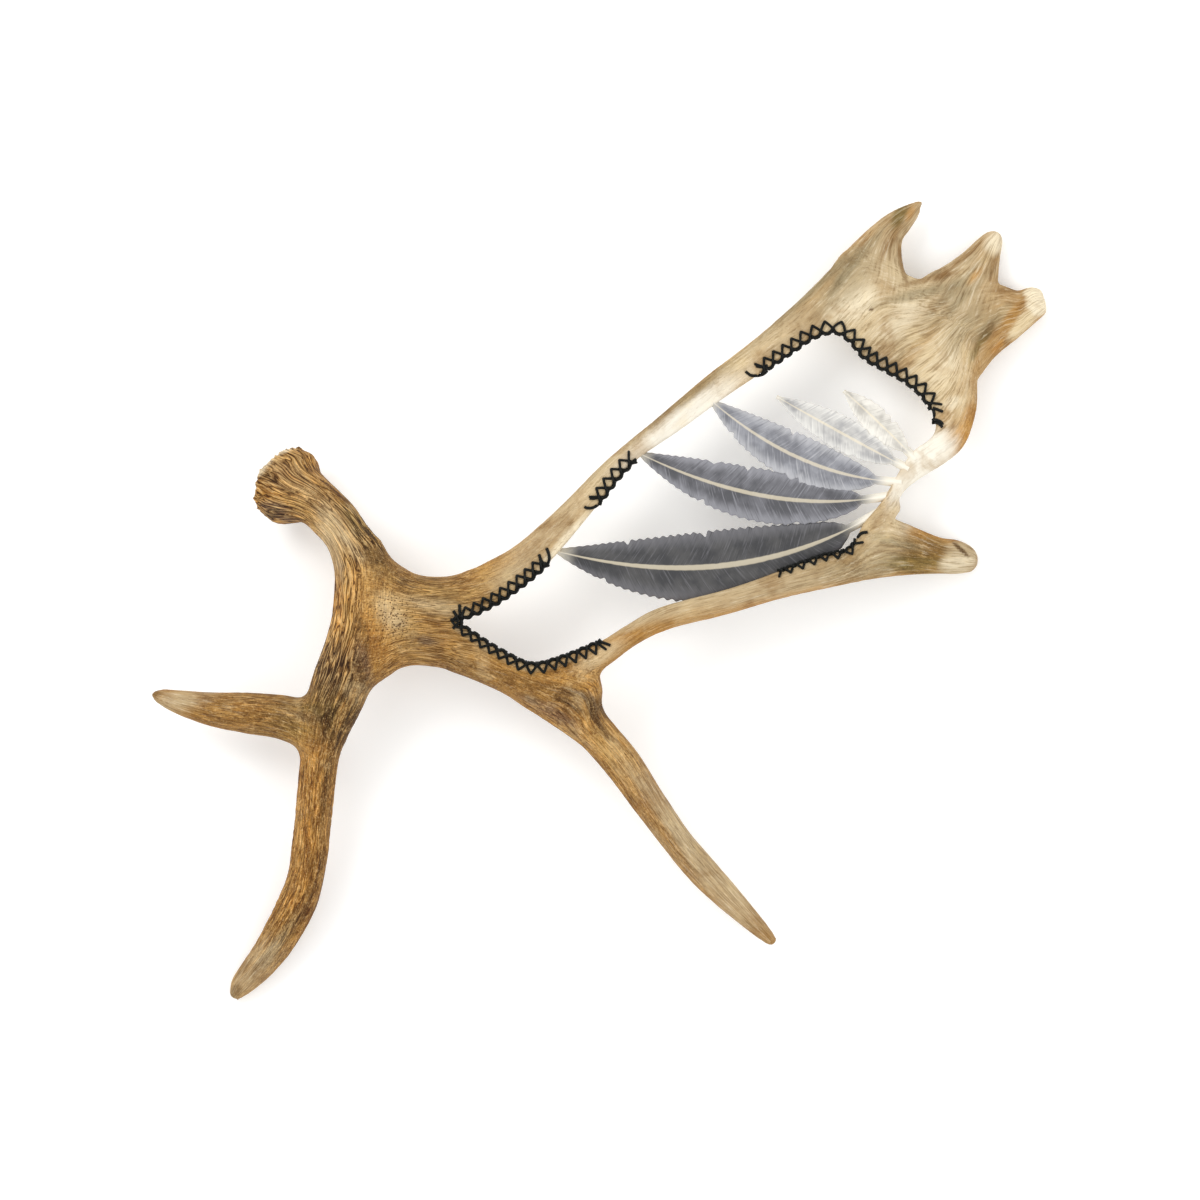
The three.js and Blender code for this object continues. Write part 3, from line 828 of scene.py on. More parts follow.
STAINS = (
    # Beam: pale along the middle and brown at both sides, the browns partly the bone's own tone and partly
    # painted shade on its rounded sides, with dark purple-brown in the hollows behind the burr.
    Stain(Tone.STRAW, -226, 60, 60, 16, -50, 0.85),
    Stain(Tone.SAND, -222, 62, 36, 9, -52, 0.75),
    Stain(Tone.BROWN, -198, 56, 52, 13, -54, 0.9, 0.3),
    Stain(Tone.SAND, -223, 34, 32, 6, -66, 0.75),
    Stain(Tone.BEIGE, -270, 104, 22, 11, -35, 0.5),
    Stain(Tone.TAN, -252, 90, 24, 14, -40, 0.6),
    Stain(Tone.PLUM, -276, 78, 12, 6, -12, 0.8, 0.5),
    Stain(Tone.PLUM, -268, 70, 14, 4, -20, 0.8, 0.5),
    Stain(Tone.UMBER, -279, 70, 9, 5, 40, 0.7, 0.4),
    Stain(Tone.UMBER, -254, 114, 14, 5, -70, 0.55, 0.4),
    Stain(Tone.BROWN, -274, 100, 16, 5, -35, 0.6, 0.4),
    Stain(Tone.CREAM, -286, 112, 12, 5, 52, 0.85, 0.5),
    Stain(Tone.CREAM, -268, 126, 8, 3, 20, 0.75, 0.5),
    Stain(Tone.CREAM, -295, 92, 8, 3.5, 75, 0.8, 0.5),
    Stain(Tone.OLIVE, -194, 48, 34, 6.5, -58, 0.85, 0.3),
    Stain(Tone.UMBER, -204, 22, 22, 3, -80, 0.6, 0.3),
    Stain(Tone.OLIVE, -213, 0, 28, 3.5, -86, 0.9, 0.3),
    # First fork: golden, with pits on its pale swelling and dark hollows below it.
    Stain(Tone.GOLDEN, -190, -10, 44, 30, -60, 0.7),
    Stain(Tone.BROWN, -202, -36, 30, 7, -85, 0.8, 0.4),
    Stain(Tone.BROWN, -168, 18, 38, 5, -52, 0.8, 0.3),
    Stain(Tone.UMBER, -193, 37, 28, 8, -62, 0.75, 0.3),
    Stain(Tone.STRAW, -174, -10, 34, 16, -58, 0.85),
    Stain(Tone.SAND, -176, -12, 16, 10, -60, 0.55),
    Stain(Tone.PLUM, -200, -60, 22, 8, -80, 0.8, 0.4),
    Stain(Tone.UMBER, -203, -62, 16, 5, -82, 0.5, 0.4),
    Stain(Tone.PLUM, -146, -35, 9, 4, -15, 0.75, 0.5),
    Stain(Tone.BROWN, -118, -52, 30, 4, -18, 0.55),
    Stain(Tone.SAND, -226, -62, 20, 7, 70, 0.5),
    # Neck.
    Stain(Tone.STRAW, -120, 6, 46, 16, 8, 0.8),
    Stain(Tone.SAND, -128, -8, 40, 6, -12, 0.5),
    Stain(Tone.BROWN, -142, 16, 26, 5, 0, 0.5),
    Stain(Tone.BROWN, -110, -62, 50, 8, -18, 0.6),
    Stain(Tone.BROWN, -60, -76, 40, 6, -24, 0.5),
    Stain(Tone.BROWN, -32, -78, 34, 5, -20, 0.85, 0.3),
    Stain(Tone.BROWN, -14, -92, 20, 11, -30, 0.85, 0.3),
    Stain(Tone.PLUM, -42, -95, 30, 5, -28, 0.75, 0.3),
    Stain(Tone.UMBER, -14, -88, 24, 8, -22, 0.9, 0.3),
    # Brow stem and the two tines in front.
    Stain(Tone.BROWN, -222, -92, 52, 30, -70, 0.85),
    Stain(Tone.UMBER, -220, -82, 54, 24, -70, 0.85, 0.3),
    Stain(Tone.OLIVE, -256, -100, 36, 20, 5, 0.6),
    Stain(Tone.UMBER, -244, -100, 18, 4, -12, 0.8, 0.5),
    Stain(Tone.UMBER, -236, -112, 16, 3.5, -50, 0.7, 0.5),
    Stain(Tone.BROWN, -285, -84, 48, 5, 1, 0.7),
    Stain(Tone.BROWN, -296, -98, 50, 18, 2, 0.65),
    Stain(Tone.TAN, -318, -98, 36, 9, 2, 0.5),
    Stain(Tone.BEIGE, -358, -86, 24, 9, 8, 0.85),
    Stain(Tone.UMBER, -375, -80, 4, 3, 0, 0.5),
    Stain(Tone.GOLDEN, -244, -170, 50, 15, 88, 0.65),
    Stain(Tone.UMBER, -232, -162, 30, 3.5, 82, 0.65, 0.4),
    Stain(Tone.GOLDEN, -252, -240, 40, 14, 75, 0.55),
    Stain(Tone.BROWN, -238, -232, 44, 5, 82, 0.6),
    Stain(Tone.BROWN, -262, -275, 34, 5, 58, 0.6),
    Stain(Tone.ASH, -272, -290, 34, 5, 52, 0.5),
    Stain(Tone.BEIGE, -292, -312, 30, 13, 52, 0.75),
    Stain(Tone.UMBER, -309, -333, 6, 4, 50, 0.6, 0.4),
    # Trailing tine: golden at its root, beige to its tip.
    Stain(Tone.STRAW, 12, -130, 30, 13, -55, 0.7),
    Stain(Tone.UMBER, -6, -100, 26, 3, -52, 0.6, 0.4),
    Stain(Tone.BEIGE, 66, -196, 70, 15, -55, 0.9),
    Stain(Tone.TAN, 50, -192, 50, 4, -55, 0.7),
    Stain(Tone.TAN, 108, -250, 34, 5, -50, 0.5),
    Stain(Tone.BEIGE, 112, -250, 44, 13, -50, 0.8),
    # Upper rim and the ring of bare, scraped bone round the carving.
    Stain(Tone.BEIGE, -36, 66, 70, 14, 46, 0.8),
    Stain(Tone.BEIGE, -68, 24, 28, 8, 40, 0.5),
    Stain(Tone.ASH, 60, 158, 130, 7, 38, 0.75),
    Stain(Tone.CREAM, -26, 50, 34, 6, 48, 0.9, 0.5),
    Stain(Tone.SAND, 14, 108, 44, 12, 42, 0.75),
    Stain(Tone.IVORY, 76, 156, 66, 9, 37, 0.95, 0.4),
    Stain(Tone.SAND, 140, 210, 44, 12, 38, 0.7),
    # Plate: pale, with grey brown along its grain.
    Stain(Tone.BEIGE, 258, 250, 112, 74, 42, 0.95),
    Stain(Tone.SAND, 226, 244, 50, 26, 42, 0.55),
    Stain(Tone.SAND, 286, 204, 34, 26, 70, 0.8),
    Stain(Tone.CREAM, 214, 250, 20, 12, 42, 0.75),
    Stain(Tone.CREAM, 256, 238, 20, 10, 42, 0.5),
    Stain(Tone.CREAM, 292, 192, 18, 10, 60, 0.6),
    Stain(Tone.ASH, 178, 262, 50, 5, 42, 0.8),
    Stain(Tone.ASH, 207, 276, 22, 5, 56, 0.7),
    Stain(Tone.BEIGE, 232, 286, 36, 10, 50, 0.7),
    Stain(Tone.ASH, 202, 262, 32, 12, 42, 0.3),
    Stain(Tone.ASH, 222, 292, 30, 4, 52, 0.6),
    Stain(Tone.BROWN, 246, 303, 20, 3.5, 62, 0.65, 0.3),
    Stain(Tone.OLIVE, 254, 325, 11, 5, 60, 0.8, 0.4),
    Stain(Tone.OCHRE, 263, 327, 6, 2.5, 60, 0.5),
    Stain(Tone.BROWN, 256, 284, 18, 2.5, -78, 0.7, 0.4),
    Stain(Tone.BROWN, 278, 271, 26, 2.5, 14, 0.6, 0.4),
    Stain(Tone.ASH, 268, 258, 30, 4, 14, 0.6),
    Stain(Tone.ASH, 300, 262, 30, 4, 45, 0.5),
    Stain(Tone.BROWN, 306, 288, 26, 2.5, 40, 0.6, 0.4),
    Stain(Tone.BROWN, 334, 286, 12, 3, 76, 0.7, 0.4),
    Stain(Tone.OCHRE, 318, 274, 8, 3, 50, 0.5),
    Stain(Tone.ASH, 290, 238, 46, 4, 45, 0.55),
    Stain(Tone.TAN, 270, 214, 30, 5, 50, 0.4),
    Stain(Tone.ASH, 313, 230, 28, 12, 48, 0.4),
    Stain(Tone.OLIVE, 325, 221, 9, 3.5, 50, 0.7, 0.4),
    Stain(Tone.OLIVE, 317, 208, 9, 3, 60, 0.6, 0.4),
    Stain(Tone.ASH, 334, 236, 20, 5, 46, 0.5),
    Stain(Tone.BROWN, 345, 262, 14, 2.5, 4, 0.6, 0.4),
    Stain(Tone.UMBER, 229, 245, 1.8, 1.2, 0, 0.9, 0.6),
    Stain(Tone.CREAM, 336, 303, 11, 9, 50, 0.85, 0.4),
    Stain(Tone.TAN, 349, 240, 12, 4, 52, 0.8, 0.5),
    Stain(Tone.OCHRE, 337, 214, 8, 3, 50, 0.6, 0.4),
    Stain(Tone.SAND, 359, 234, 18, 6, 48, 0.95, 0.6),
    Stain(Tone.CREAM, 371, 253, 13, 10, -60, 1.0, 0.8),
    # Right rim and the quills' ivory ground.
    Stain(Tone.SAND, 292, 172, 24, 22, 60, 0.8),
    Stain(Tone.OCHRE, 312, 148, 17, 6, 72, 0.5, 0.5),
    Stain(Tone.CREAM, 298, 166, 8, 5, 40, 0.8, 0.5),
    Stain(Tone.OCHRE, 303, 135, 10, 8, 50, 0.5, 0.5),
    Stain(Tone.IVORY, 276, 110, 34, 26, 62, 1.0, 0.6),
    Stain(Tone.IVORY, 258, 80, 20, 14, 70, 0.9, 0.5),
    # Lower rim and its point.
    Stain(Tone.BEIGE, 110, 2, 140, 15, 12, 0.85),
    Stain(Tone.TAN, 40, -30, 62, 8, 17, 0.75),
    Stain(Tone.BROWN, 48, -26, 40, 4, 17, 0.35),
    Stain(Tone.OCHRE, 60, -24, 70, 4, 14, 0.35, 0.3),
    Stain(Tone.OCHRE, 170, 4, 50, 4, 12, 0.6, 0.3),
    Stain(Tone.SAND, 0, -48, 22, 6, 30, 0.6),
    Stain(Tone.ASH, 226, 30, 44, 14, 12, 0.6),
    Stain(Tone.BEIGE, 160, 10, 50, 8, 12, 0.5),
    Stain(Tone.OLIVE, 264, 36, 38, 13, -6, 0.95, 0.3),
    Stain(Tone.BROWN, 272, 42, 30, 8, -8, 0.7),
    Stain(Tone.BEIGE, 240, 54, 28, 17, 50, 0.9),
    Stain(Tone.SAND, 248, 66, 14, 7, 70, 0.7),
    Stain(Tone.ASH, 250, 48, 24, 4, -14, 0.6),
    Stain(Tone.BEIGE, 308, 34, 22, 15, 40, 0.95, 0.6),
    Stain(Tone.CREAM, 302, 30, 14, 6, 10, 0.6),
    Stain(Tone.UMBER, 306, 42, 9, 1.6, -42, 0.9, 0.8),
)


@dataclass(frozen=True)
class GrownAntler:
    """Weathered antler, a dense bone that the saw has not touched: dry, faintly waxy, grooved on its grain.

    It gives the eye wavy grooves darkened by brown dirt and painted shade between pale crests, worn and
    lightened by a painted highlight, fine hair lines, soft streaks where it is smoother, stains, and no clear
    highlight.

    Attributes:
        line_pitch: half the millimetres from one long groove to the next.
        line_length: half a long groove's length.
        line_fold: the rise of the noise from one long groove to the crest beside it.
        streak_pitch: half the millimetres from one streak of the smooth plate to the next.
        streak_length: half a streak's length.
        hair_pitch: half the millimetres from one hair line to the next.
        hair_length: half a hair line's length.
        groove_pitch: half the millimetres from one fine groove to the next.
        groove_length: half a groove's length.
        band_pitch: half the millimetres from one broad band to the next.
        band_length: half a band's length.
        curl: the size of the mottle's curls.
        cloud: the size of the soft clouds.
        pore_pitch: millimetres between pores.
        relief: how deep the fine grooves are, in millimetres.
        roughness: of the bare surface.
        specular: how strongly it mirrors.
        line_share: how far long grooves take the place of short ones.
        hair_share: how far hair lines show where the bone is smooth.
        curl_relief: how high the mottle stands against the grooves.
    """

    line_pitch: float = 3.6
    line_length: float = 36.0
    line_fold: float = 0.09
    streak_pitch: float = 1.5
    streak_length: float = 20.0
    hair_pitch: float = 0.75
    hair_length: float = 15.0
    groove_pitch: float = 1.35
    groove_length: float = 8.0
    band_pitch: float = 5.0
    band_length: float = 42.0
    curl: float = 3.4
    cloud: float = 30.0
    pore_pitch: float = 2.2
    relief: float = 0.75
    roughness: float = 0.66
    specular: float = 0.16
    line_share: float = 0.65
    hair_share: float = 0.08
    curl_relief: float = 0.35

    def grain(
        self, tree: bpy.types.NodeTree, pitch: float, length: float, waver: float, detail: float = 3.0
    ) -> bpy.types.NodeSocket:
        """Noise drawn out along the grain: one noise for each set of coordinates, mixed by their shares.

        Args:
            tree: the material's node tree.
            pitch: its size across the grain, in millimetres.
            length: its size along the grain, in millimetres.
            waver: how much it winds.
            detail: how many finer noises lie on it.

        Returns:
            The noise, from 0 to 1.
        """
        shares = add(tree, "ShaderNodeAttribute", attribute_name="grain_shares")
        share = add(tree, "ShaderNodeSeparateXYZ", {0: shares.outputs["Vector"]})
        total = 0.0
        for index, kind in enumerate(Grain):
            flow = add(tree, "ShaderNodeAttribute", attribute_name=f"grain_{kind.name.lower()}")
            stretch = {0: flow.outputs["Vector"], 1: (1 / pitch, 1 / pitch, 1 / length)}
            scaled = add(tree, "ShaderNodeVectorMath", stretch, operation="MULTIPLY").outputs[0]
            look = {"Vector": scaled, "Scale": 1.0, "Detail": detail, "Roughness": 0.6, "Distortion": waver}
            noise = add(tree, "ShaderNodeTexNoise", look).outputs["Fac"]
            part = {0: noise, 1: share.outputs[index], 2: total}
            total = add(tree, "ShaderNodeMath", part, operation="MULTIPLY_ADD").outputs[0]
        return total

    def build(self) -> bpy.types.Material:
        """Makes the material.

        The attribute "wear" holds how grooved, how hollow and how pitted a place is, "lined" how far long
        grooves take the place of short ones, and "streaked" how far soft streaks do.
        """
        material, tree, shader = new_material("weathered_antler_bone")
        ground = add(tree, "ShaderNodeAttribute", attribute_name="ground").outputs["Color"]
        wear = add(tree, "ShaderNodeAttribute", attribute_name="wear").outputs["Vector"]
        grooved, hollow, pitted = add(tree, "ShaderNodeSeparateXYZ", {0: wear}).outputs
        lined = add(tree, "ShaderNodeAttribute", attribute_name="lined").outputs["Fac"]
        kept = {0: lined, 1: -self.line_share, 2: 1.0}
        kept = add(tree, "ShaderNodeMath", kept, operation="MULTIPLY_ADD").outputs[0]
        short = add(tree, "ShaderNodeMath", {0: kept, 1: grooved}, operation="MULTIPLY").outputs[0]
        smooth = add(tree, "ShaderNodeAttribute", attribute_name="streaked").outputs["Fac"]
        haired = {0: smooth, 1: self.hair_share, 2: grooved}
        haired = add(tree, "ShaderNodeMath", haired, operation="MULTIPLY_ADD").outputs[0]
        lines = self.grain(tree, self.line_pitch, self.line_length, 0.25, 0.6)
        fold = add(tree, "ShaderNodeMath", {0: lines, 1: self.line_fold}, operation="PINGPONG").outputs[0]
        fine = self.grain(tree, self.groove_pitch, self.groove_length, 0.9)
        streak = self.grain(tree, self.streak_pitch, self.streak_length, 0.2, 4.0)
        hair = self.grain(tree, self.hair_pitch, self.hair_length, 0.5, 1.5)
        broad = self.grain(tree, self.band_pitch, self.band_length, 0.5)
        place = add(tree, "ShaderNodeTexCoord").outputs["Object"]
        curls = {"Scale": 1 / (self.curl * MM), "Detail": 2.0, "Roughness": 0.5, "Distortion": 2.2}
        curled = add(tree, "ShaderNodeTexNoise", {"Vector": place} | curls).outputs["Fac"]
        clouds = {"Scale": 1 / (self.cloud * MM), "Detail": 4.0, "Roughness": 0.55, "Distortion": 0.4}
        cloud = add(tree, "ShaderNodeTexNoise", {"Vector": place} | clouds).outputs["Fac"]
        cells = {"Vector": place, "Scale": 1 / (self.pore_pitch * MM), "Randomness": 1.0}
        pores = add(tree, "ShaderNodeTexVoronoi", cells, feature="F1").outputs["Distance"]

        coats = (
            # Broad bands along the grain, and soft clouds across it.
            Coat(broad, 0.51, 0.66, 0.75, "#b39c74", "MULTIPLY", grooved),
            Coat(broad, 0.49, 0.34, 0.4, "#d8a964", where=grooved),
            Coat(cloud, 0.5, 0.7, 0.5, "#b89a6b", "MULTIPLY"),
            Coat(cloud, 0.46, 0.3, 0.25, "#e6cfa0"),
            # A curly mottle between the short grooves, and soft streaks where the bone is smooth.
            Coat(curled, 0.47, 0.36, 0.45, "#97783f", "MULTIPLY", short),
            Coat(curled, 0.55, 0.66, 0.3, "#e6c792", where=short),
            Coat(streak, 0.5, 0.36, 0.6, "#9f8b68", "MULTIPLY", smooth),
            Coat(streak, 0.52, 0.68, 0.4, "#f1e4c8", where=smooth),
            # Darker grooves and paler crests: dirt and wear, with painted shade in the grooves and a painted
            # highlight on the crests.
            Coat(fine, 0.48, 0.36, 0.8, "#8a6a3a", "MULTIPLY", short),
            Coat(fine, 0.53, 0.66, 0.3, "#e8c284", where=short),
            Coat(fold, 0.05, 0.09, 0.4, "#ecc98e", where=lined),
            Coat(fold, 0.03, 0.006, 0.9, "#65461f", "MULTIPLY", lined),
            # Hair lines, dark and pale.
            Coat(hair, 0.48, 0.36, 0.7, "#8d6c3e", "MULTIPLY", haired),
            Coat(hair, 0.52, 0.64, 1.0, "#9a8b68", "DODGE", haired),
            # Darker in the sunk hollows, between the flutes and in the pits, and dark pores.
            Coat(hollow, 0, 1, 0.8, "#5c4020", "MULTIPLY"),
            Coat(pores, 0.38, 0.2, 1.0, "#5a3c20", "MULTIPLY", pitted),
        )
        # Short grooves, long grooves and the mottle add up to one height.
        worn = {"Value": fine, "From Min": 0.32, "From Max": 0.62, "To Max": 1.0}
        crests = add(tree, "ShaderNodeMapRange", worn, interpolation_type="SMOOTHSTEP").outputs[0]
        height = add(tree, "ShaderNodeMath", {0: crests, 1: short}, operation="MULTIPLY").outputs[0]
        furrow = {"Value": fold, "From Min": 0.0, "From Max": 0.04, "To Max": 1.0}
        furrow = add(tree, "ShaderNodeMapRange", furrow, interpolation_type="SMOOTHSTEP").outputs[0]
        for part in ({0: furrow, 1: lined}, {0: curled, 1: self.curl_relief}):
            height = add(tree, "ShaderNodeMath", part | {2: height}, operation="MULTIPLY_ADD").outputs[0]
        relief = {"Strength": 1.0, "Distance": self.relief * MM, "Height": height}
        bump = add(tree, "ShaderNodeBump", relief).outputs["Normal"]
        dull = {"From Min": 0.35, "From Max": 0.7, "To Min": self.roughness - 0.08}
        dull |= {"Value": curled, "To Max": self.roughness + 0.14}
        tree.links.new(coated(tree, ground, coats), shader.inputs["Base Color"])
        tree.links.new(add(tree, "ShaderNodeMapRange", dull).outputs[0], shader.inputs["Roughness"])
        tree.links.new(bump, shader.inputs["Normal"])
        shader.inputs["Specular IOR Level"].default_value = self.specular
        return material


@dataclass
class Flow:
    """The grain at every vertex.

    Attributes:
        vectors: three sets of grain coordinates.
        shares: how much each set counts.
        ridges: how deeply the limb is grooved.
        depth: the limb's half depth.
        stem: the coordinates on the main line from the burr.
    """

    vectors: Array
    shares: Array
    ridges: Array
    depth: Array
    stem: Array

    def noise(self, seed: int, size: tuple[float, float, float], folded: bool = False) -> Array:
        """Value noise drawn out along the grain, mixed by the shares.

        Args:
            seed: of the first set's lattice. The others have the next seeds.
            size: the lattice's cell in millimetres: across, up and along.
            folded: whether noise n is turned to 1 - |2n - 1|, which has sharp crests.

        Returns:
            One number per vertex, from 0 to 1.
        """
        total = np.zeros(self.shares.shape[1])
        for index, (share, vectors) in enumerate(zip(self.shares, self.vectors)):
            noise = Lattice(seed + index).at(vectors / size)
            total += share * (1 - np.abs(2 * noise - 1) if folded else noise)
        return total


def flow_of(points: Array) -> Flow:
    """Follows every limb and keeps, in each set of coordinates, the limb that holds a point best.

    Args:
        points: rows of places in millimetres.

    Returns:
        The grain of each point. Shares are the squares of the closenesses, scaled to a sum of 1.
    """
    vectors = np.zeros((len(Grain), len(points), 3))
    closest = np.zeros((len(Grain), len(points)))
    ridges, depth = np.zeros((2, len(Grain), len(points)))
    stem = np.zeros((len(points), 3))
    for limb in LIMBS:
        coordinates, closeness, thickness = limb.follow(points)
        row = limb.grain.value
        better = closeness > closest[row]
        vectors[row, better] = coordinates[better]
        closest[row, better] = closeness[better]
        ridges[row, better] = limb.ridges
        depth[row, better] = thickness[better]
        if limb is MAIN_LINE:
            stem = coordinates
    shares = closest**2 + 1e-6
    shares /= shares.sum(0)
    return Flow(vectors, shares, (ridges * shares).sum(0), (depth * shares).sum(0), stem)


@dataclass(frozen=True)
class Patch:
    """A place on the plan that fades away from its middle as exp(-(dx / wide)² - (dy / high)²).

    Attributes:
        x: its middle.
        y: its middle.
        wide: its size from left to right.
        high: its size from bottom to top.
    """

    x: float
    y: float
    wide: float
    high: float

    def at(self, points: Array) -> Array:
        """How much of it lies at rows of places, from 0 to 1."""
        aside, ahead = (points[:, 0] - self.x) / self.wide, (points[:, 1] - self.y) / self.high
        return np.exp(-(aside**2 + ahead**2))


@dataclass
class Antler:
    """The grown antler: its limbs melted into one skin, sawn open in the palm, with a beaded burr.

    Attributes:
        first_voxel: the grain of the first melt, before the forks are smoothed.
        last_voxel: the grain of the skin that shows.
        fork_rounds: how long the forks are smoothed.
        thin: the half depth of a limb up to which its forks stay as they are.
        thick: the half depth from which they are smoothed in full.
        pearls: how many knobs stand round the burr's rim.
        pearl_radius: the middle size of a knob.
        flutes: how many flutes run from the burr up the beam.
        flute_height: how far they stand out.
        flute_reach: how far up the beam they run.
        ridge_height: how far the grown ridges stand out on the beam.
        pit_size: the size of a pit.
        pit_depth: how deep the pits are.
        scraped: how wide a pale band the saw and the scraper left along the cut-out.
    """

    first_voxel: float = 2.1
    last_voxel: float = 1.82
    fork_rounds: int = 190
    thin: float = 9.0
    thick: float = 14.0
    pearls: int = 64
    pearl_radius: float = 2.2
    flutes: int = 46
    flute_height: float = 0.3
    flute_reach: float = 34.0
    ridge_height: float = 0.8
    pit_size: float = 2.3
    pit_depth: float = 0.7
    scraped: float = 8.0

    NODES = ("beam", "palm", "brow_branch", "front_tine", "lower_tine", "trailing_tine")
    # The second limb's shares from which a place begins to be a fork and is wholly one.
    FORK = (0.02, 0.3)
    # Pulls to the neighbours' mean, with their rounds: for the forks' mask, and for the skin at the end.
    MASK_BLUR = (0.6, 50)
    SKIN_BLUR = (0.35, 2)
    # The skin's pull away from the forks, and what it gains in them.
    CALM_PULL = 0.01
    FORK_PULL = 0.55
    # The noise's values from which a pit begins and is at its deepest.
    PIT = (0.7, 0.86)
    # The shed face's profile, as shares of the burr's radius and millimetres out of its face.
    SEAL_PROFILE = ((0.9, -6), (0.95, -2), (0.97, 0), (0.93, 1.6), (0.84, 3.1), (0.72, 4), (0.3, 4))
    SEAL_AROUND = 72
    BEAD_AROUND = 14
    BEAD_RINGS = 7
    BEAD_SEED = 11
    # The cells of the noises along the grain, in millimetres: across, up and along.
    RIDGE = (5.2, 5.2, 42.0)
    SWELL = (14.0, 14.0, 80.0)
    RIB = (2.7, 2.7, 15.0)
    RAGGED = (8.0, 8.0, 26.0)
    FRAYED = (3.0, 3.0, 9.0)
    # The pits' lattice is turned so that its rows follow neither the beam nor the neck.
    SLANT = np.array([(0.79, -0.42, 0.45), (0.58, 0.7, -0.41), (-0.15, 0.58, 0.8)])
    # How far stains of these tones hide the streaks, and how far worn ones take the grooves.
    BARED = {Tone.IVORY: 0.9}
    WORN = {Tone.CREAM: 0.65, Tone.SAND: 0.65, Tone.BEIGE: 0.65}
    SWELLING = Patch(-176, -15, 24, 29)
    BEHIND_BURR = Patch(-245, 85, 20, 24)

    def burr(self) -> tuple[Array, float, Array, Array, Array]:
        """The burr's middle, its radius, and the directions out of its face, across it and up it."""
        frames = MAIN_LINE.sections()
        out = unit(frames.middle[0] - frames.middle[MAIN_LINE.STEPS])
        side = unit(frames.across[0] - out * (frames.across[0] @ out))
        radius = max(float(frames.half[0]), float(frames.depth[0]))
        return frames.middle[0], radius, out, side, np.cross(out, side)

    def seal(self) -> Shape:
        """The shed face: rings whose radius shrinks as it rises to a flat middle."""
        middle, radius, out, side, up = self.burr()
        profile = np.array(self.SEAL_PROFILE)
        angle = np.linspace(0, 2 * math.pi, self.SEAL_AROUND, endpoint=False)
        wheel = np.cos(angle)[:, None] * side + np.sin(angle)[:, None] * up
        rings = middle + radius * profile[:, :1, None] * wheel + profile[:, 1:, None] * out
        return Shape.of_rings(rings, middle + profile[0, 1] * out, middle + profile[-1, 1] * out)

    def bead(self, at: Array, radius: float) -> Shape:
        """A round knob: a ball of latitudes and longitudes."""
        rise = np.linspace(-math.pi / 2, math.pi / 2, self.BEAD_RINGS + 2)[1:-1, None]
        angle = np.linspace(0, 2 * math.pi, self.BEAD_AROUND, endpoint=False)
        flat = np.cos(rise)
        high = np.repeat(np.sin(rise), len(angle), 1)
        rings = np.stack([flat * np.cos(angle), flat * np.sin(angle), high], axis=2)
        pole = np.array([0, 0, radius])
        return Shape.of_rings(at + radius * rings, at - pole, at + pole)

    def beads(self) -> list[Shape]:
        """Knobs round the burr in two uneven rows, each a little larger or smaller than the next."""
        middle, radius, out, side, up = self.burr()
        random = np.random.default_rng(self.BEAD_SEED)
        made = []
        for k in range(self.pearls):
            angle = 2 * math.pi * (k + random.uniform(-0.35, 0.35)) / self.pearls
            row = k % 2
            away = radius * (0.99 - 0.03 * row) + random.uniform(-1.2, 0.8)
            spot = middle + away * (math.cos(angle) * side + math.sin(angle) * up)
            spot = spot + out * (random.uniform(-1.4, 1.2) + (0.8 - 3.2 * row))
            made.append(self.bead(spot, self.pearl_radius * random.uniform(0.6, 1.35)))
        return made

    def build(self, cut: CutOut) -> bpy.types.Object:
        """Melts the limbs together, smooths the forks, saws the cut-out and grows the ridges.

        Args:
            cut: the edge of the palm's cut-out.

        Returns:
            The antler, as one closed skin.
        """
        piece = joined([limb.surface() for limb in LIMBS]).piece("antler_bone")
        settle(piece, "REMESH", mode="VOXEL", voxel_size=self.first_voxel * MM)
        flow = flow_of(points_of(piece))
        forked = ease(1 - flow.shares.max(0), *self.FORK) * ease(flow.depth, self.thin, self.thick)
        pull, rounds = self.MASK_BLUR
        forked = blurred(piece, forked[:, None], np.full(len(forked), pull), rounds)[:, 0]
        pull = self.CALM_PULL + self.FORK_PULL * np.minimum(1.4 * forked, 1)
        set_points(piece, melted(piece, pull, self.fork_rounds))

        block = cut.block().piece("saw_block")
        settle(piece, "BOOLEAN", operation="DIFFERENCE", solver="EXACT", object=block)
        bpy.data.objects.remove(block)
        take_in(piece, joined([self.seal(), *self.beads()]).piece("burr"))
        settle(piece, "REMESH", mode="VOXEL", voxel_size=self.last_voxel * MM)
        points = points_of(piece)
        pull, rounds = self.SKIN_BLUR
        set_points(piece, blurred(piece, points, np.full(len(points), pull), rounds))
        self.grow(piece, cut)
        return piece

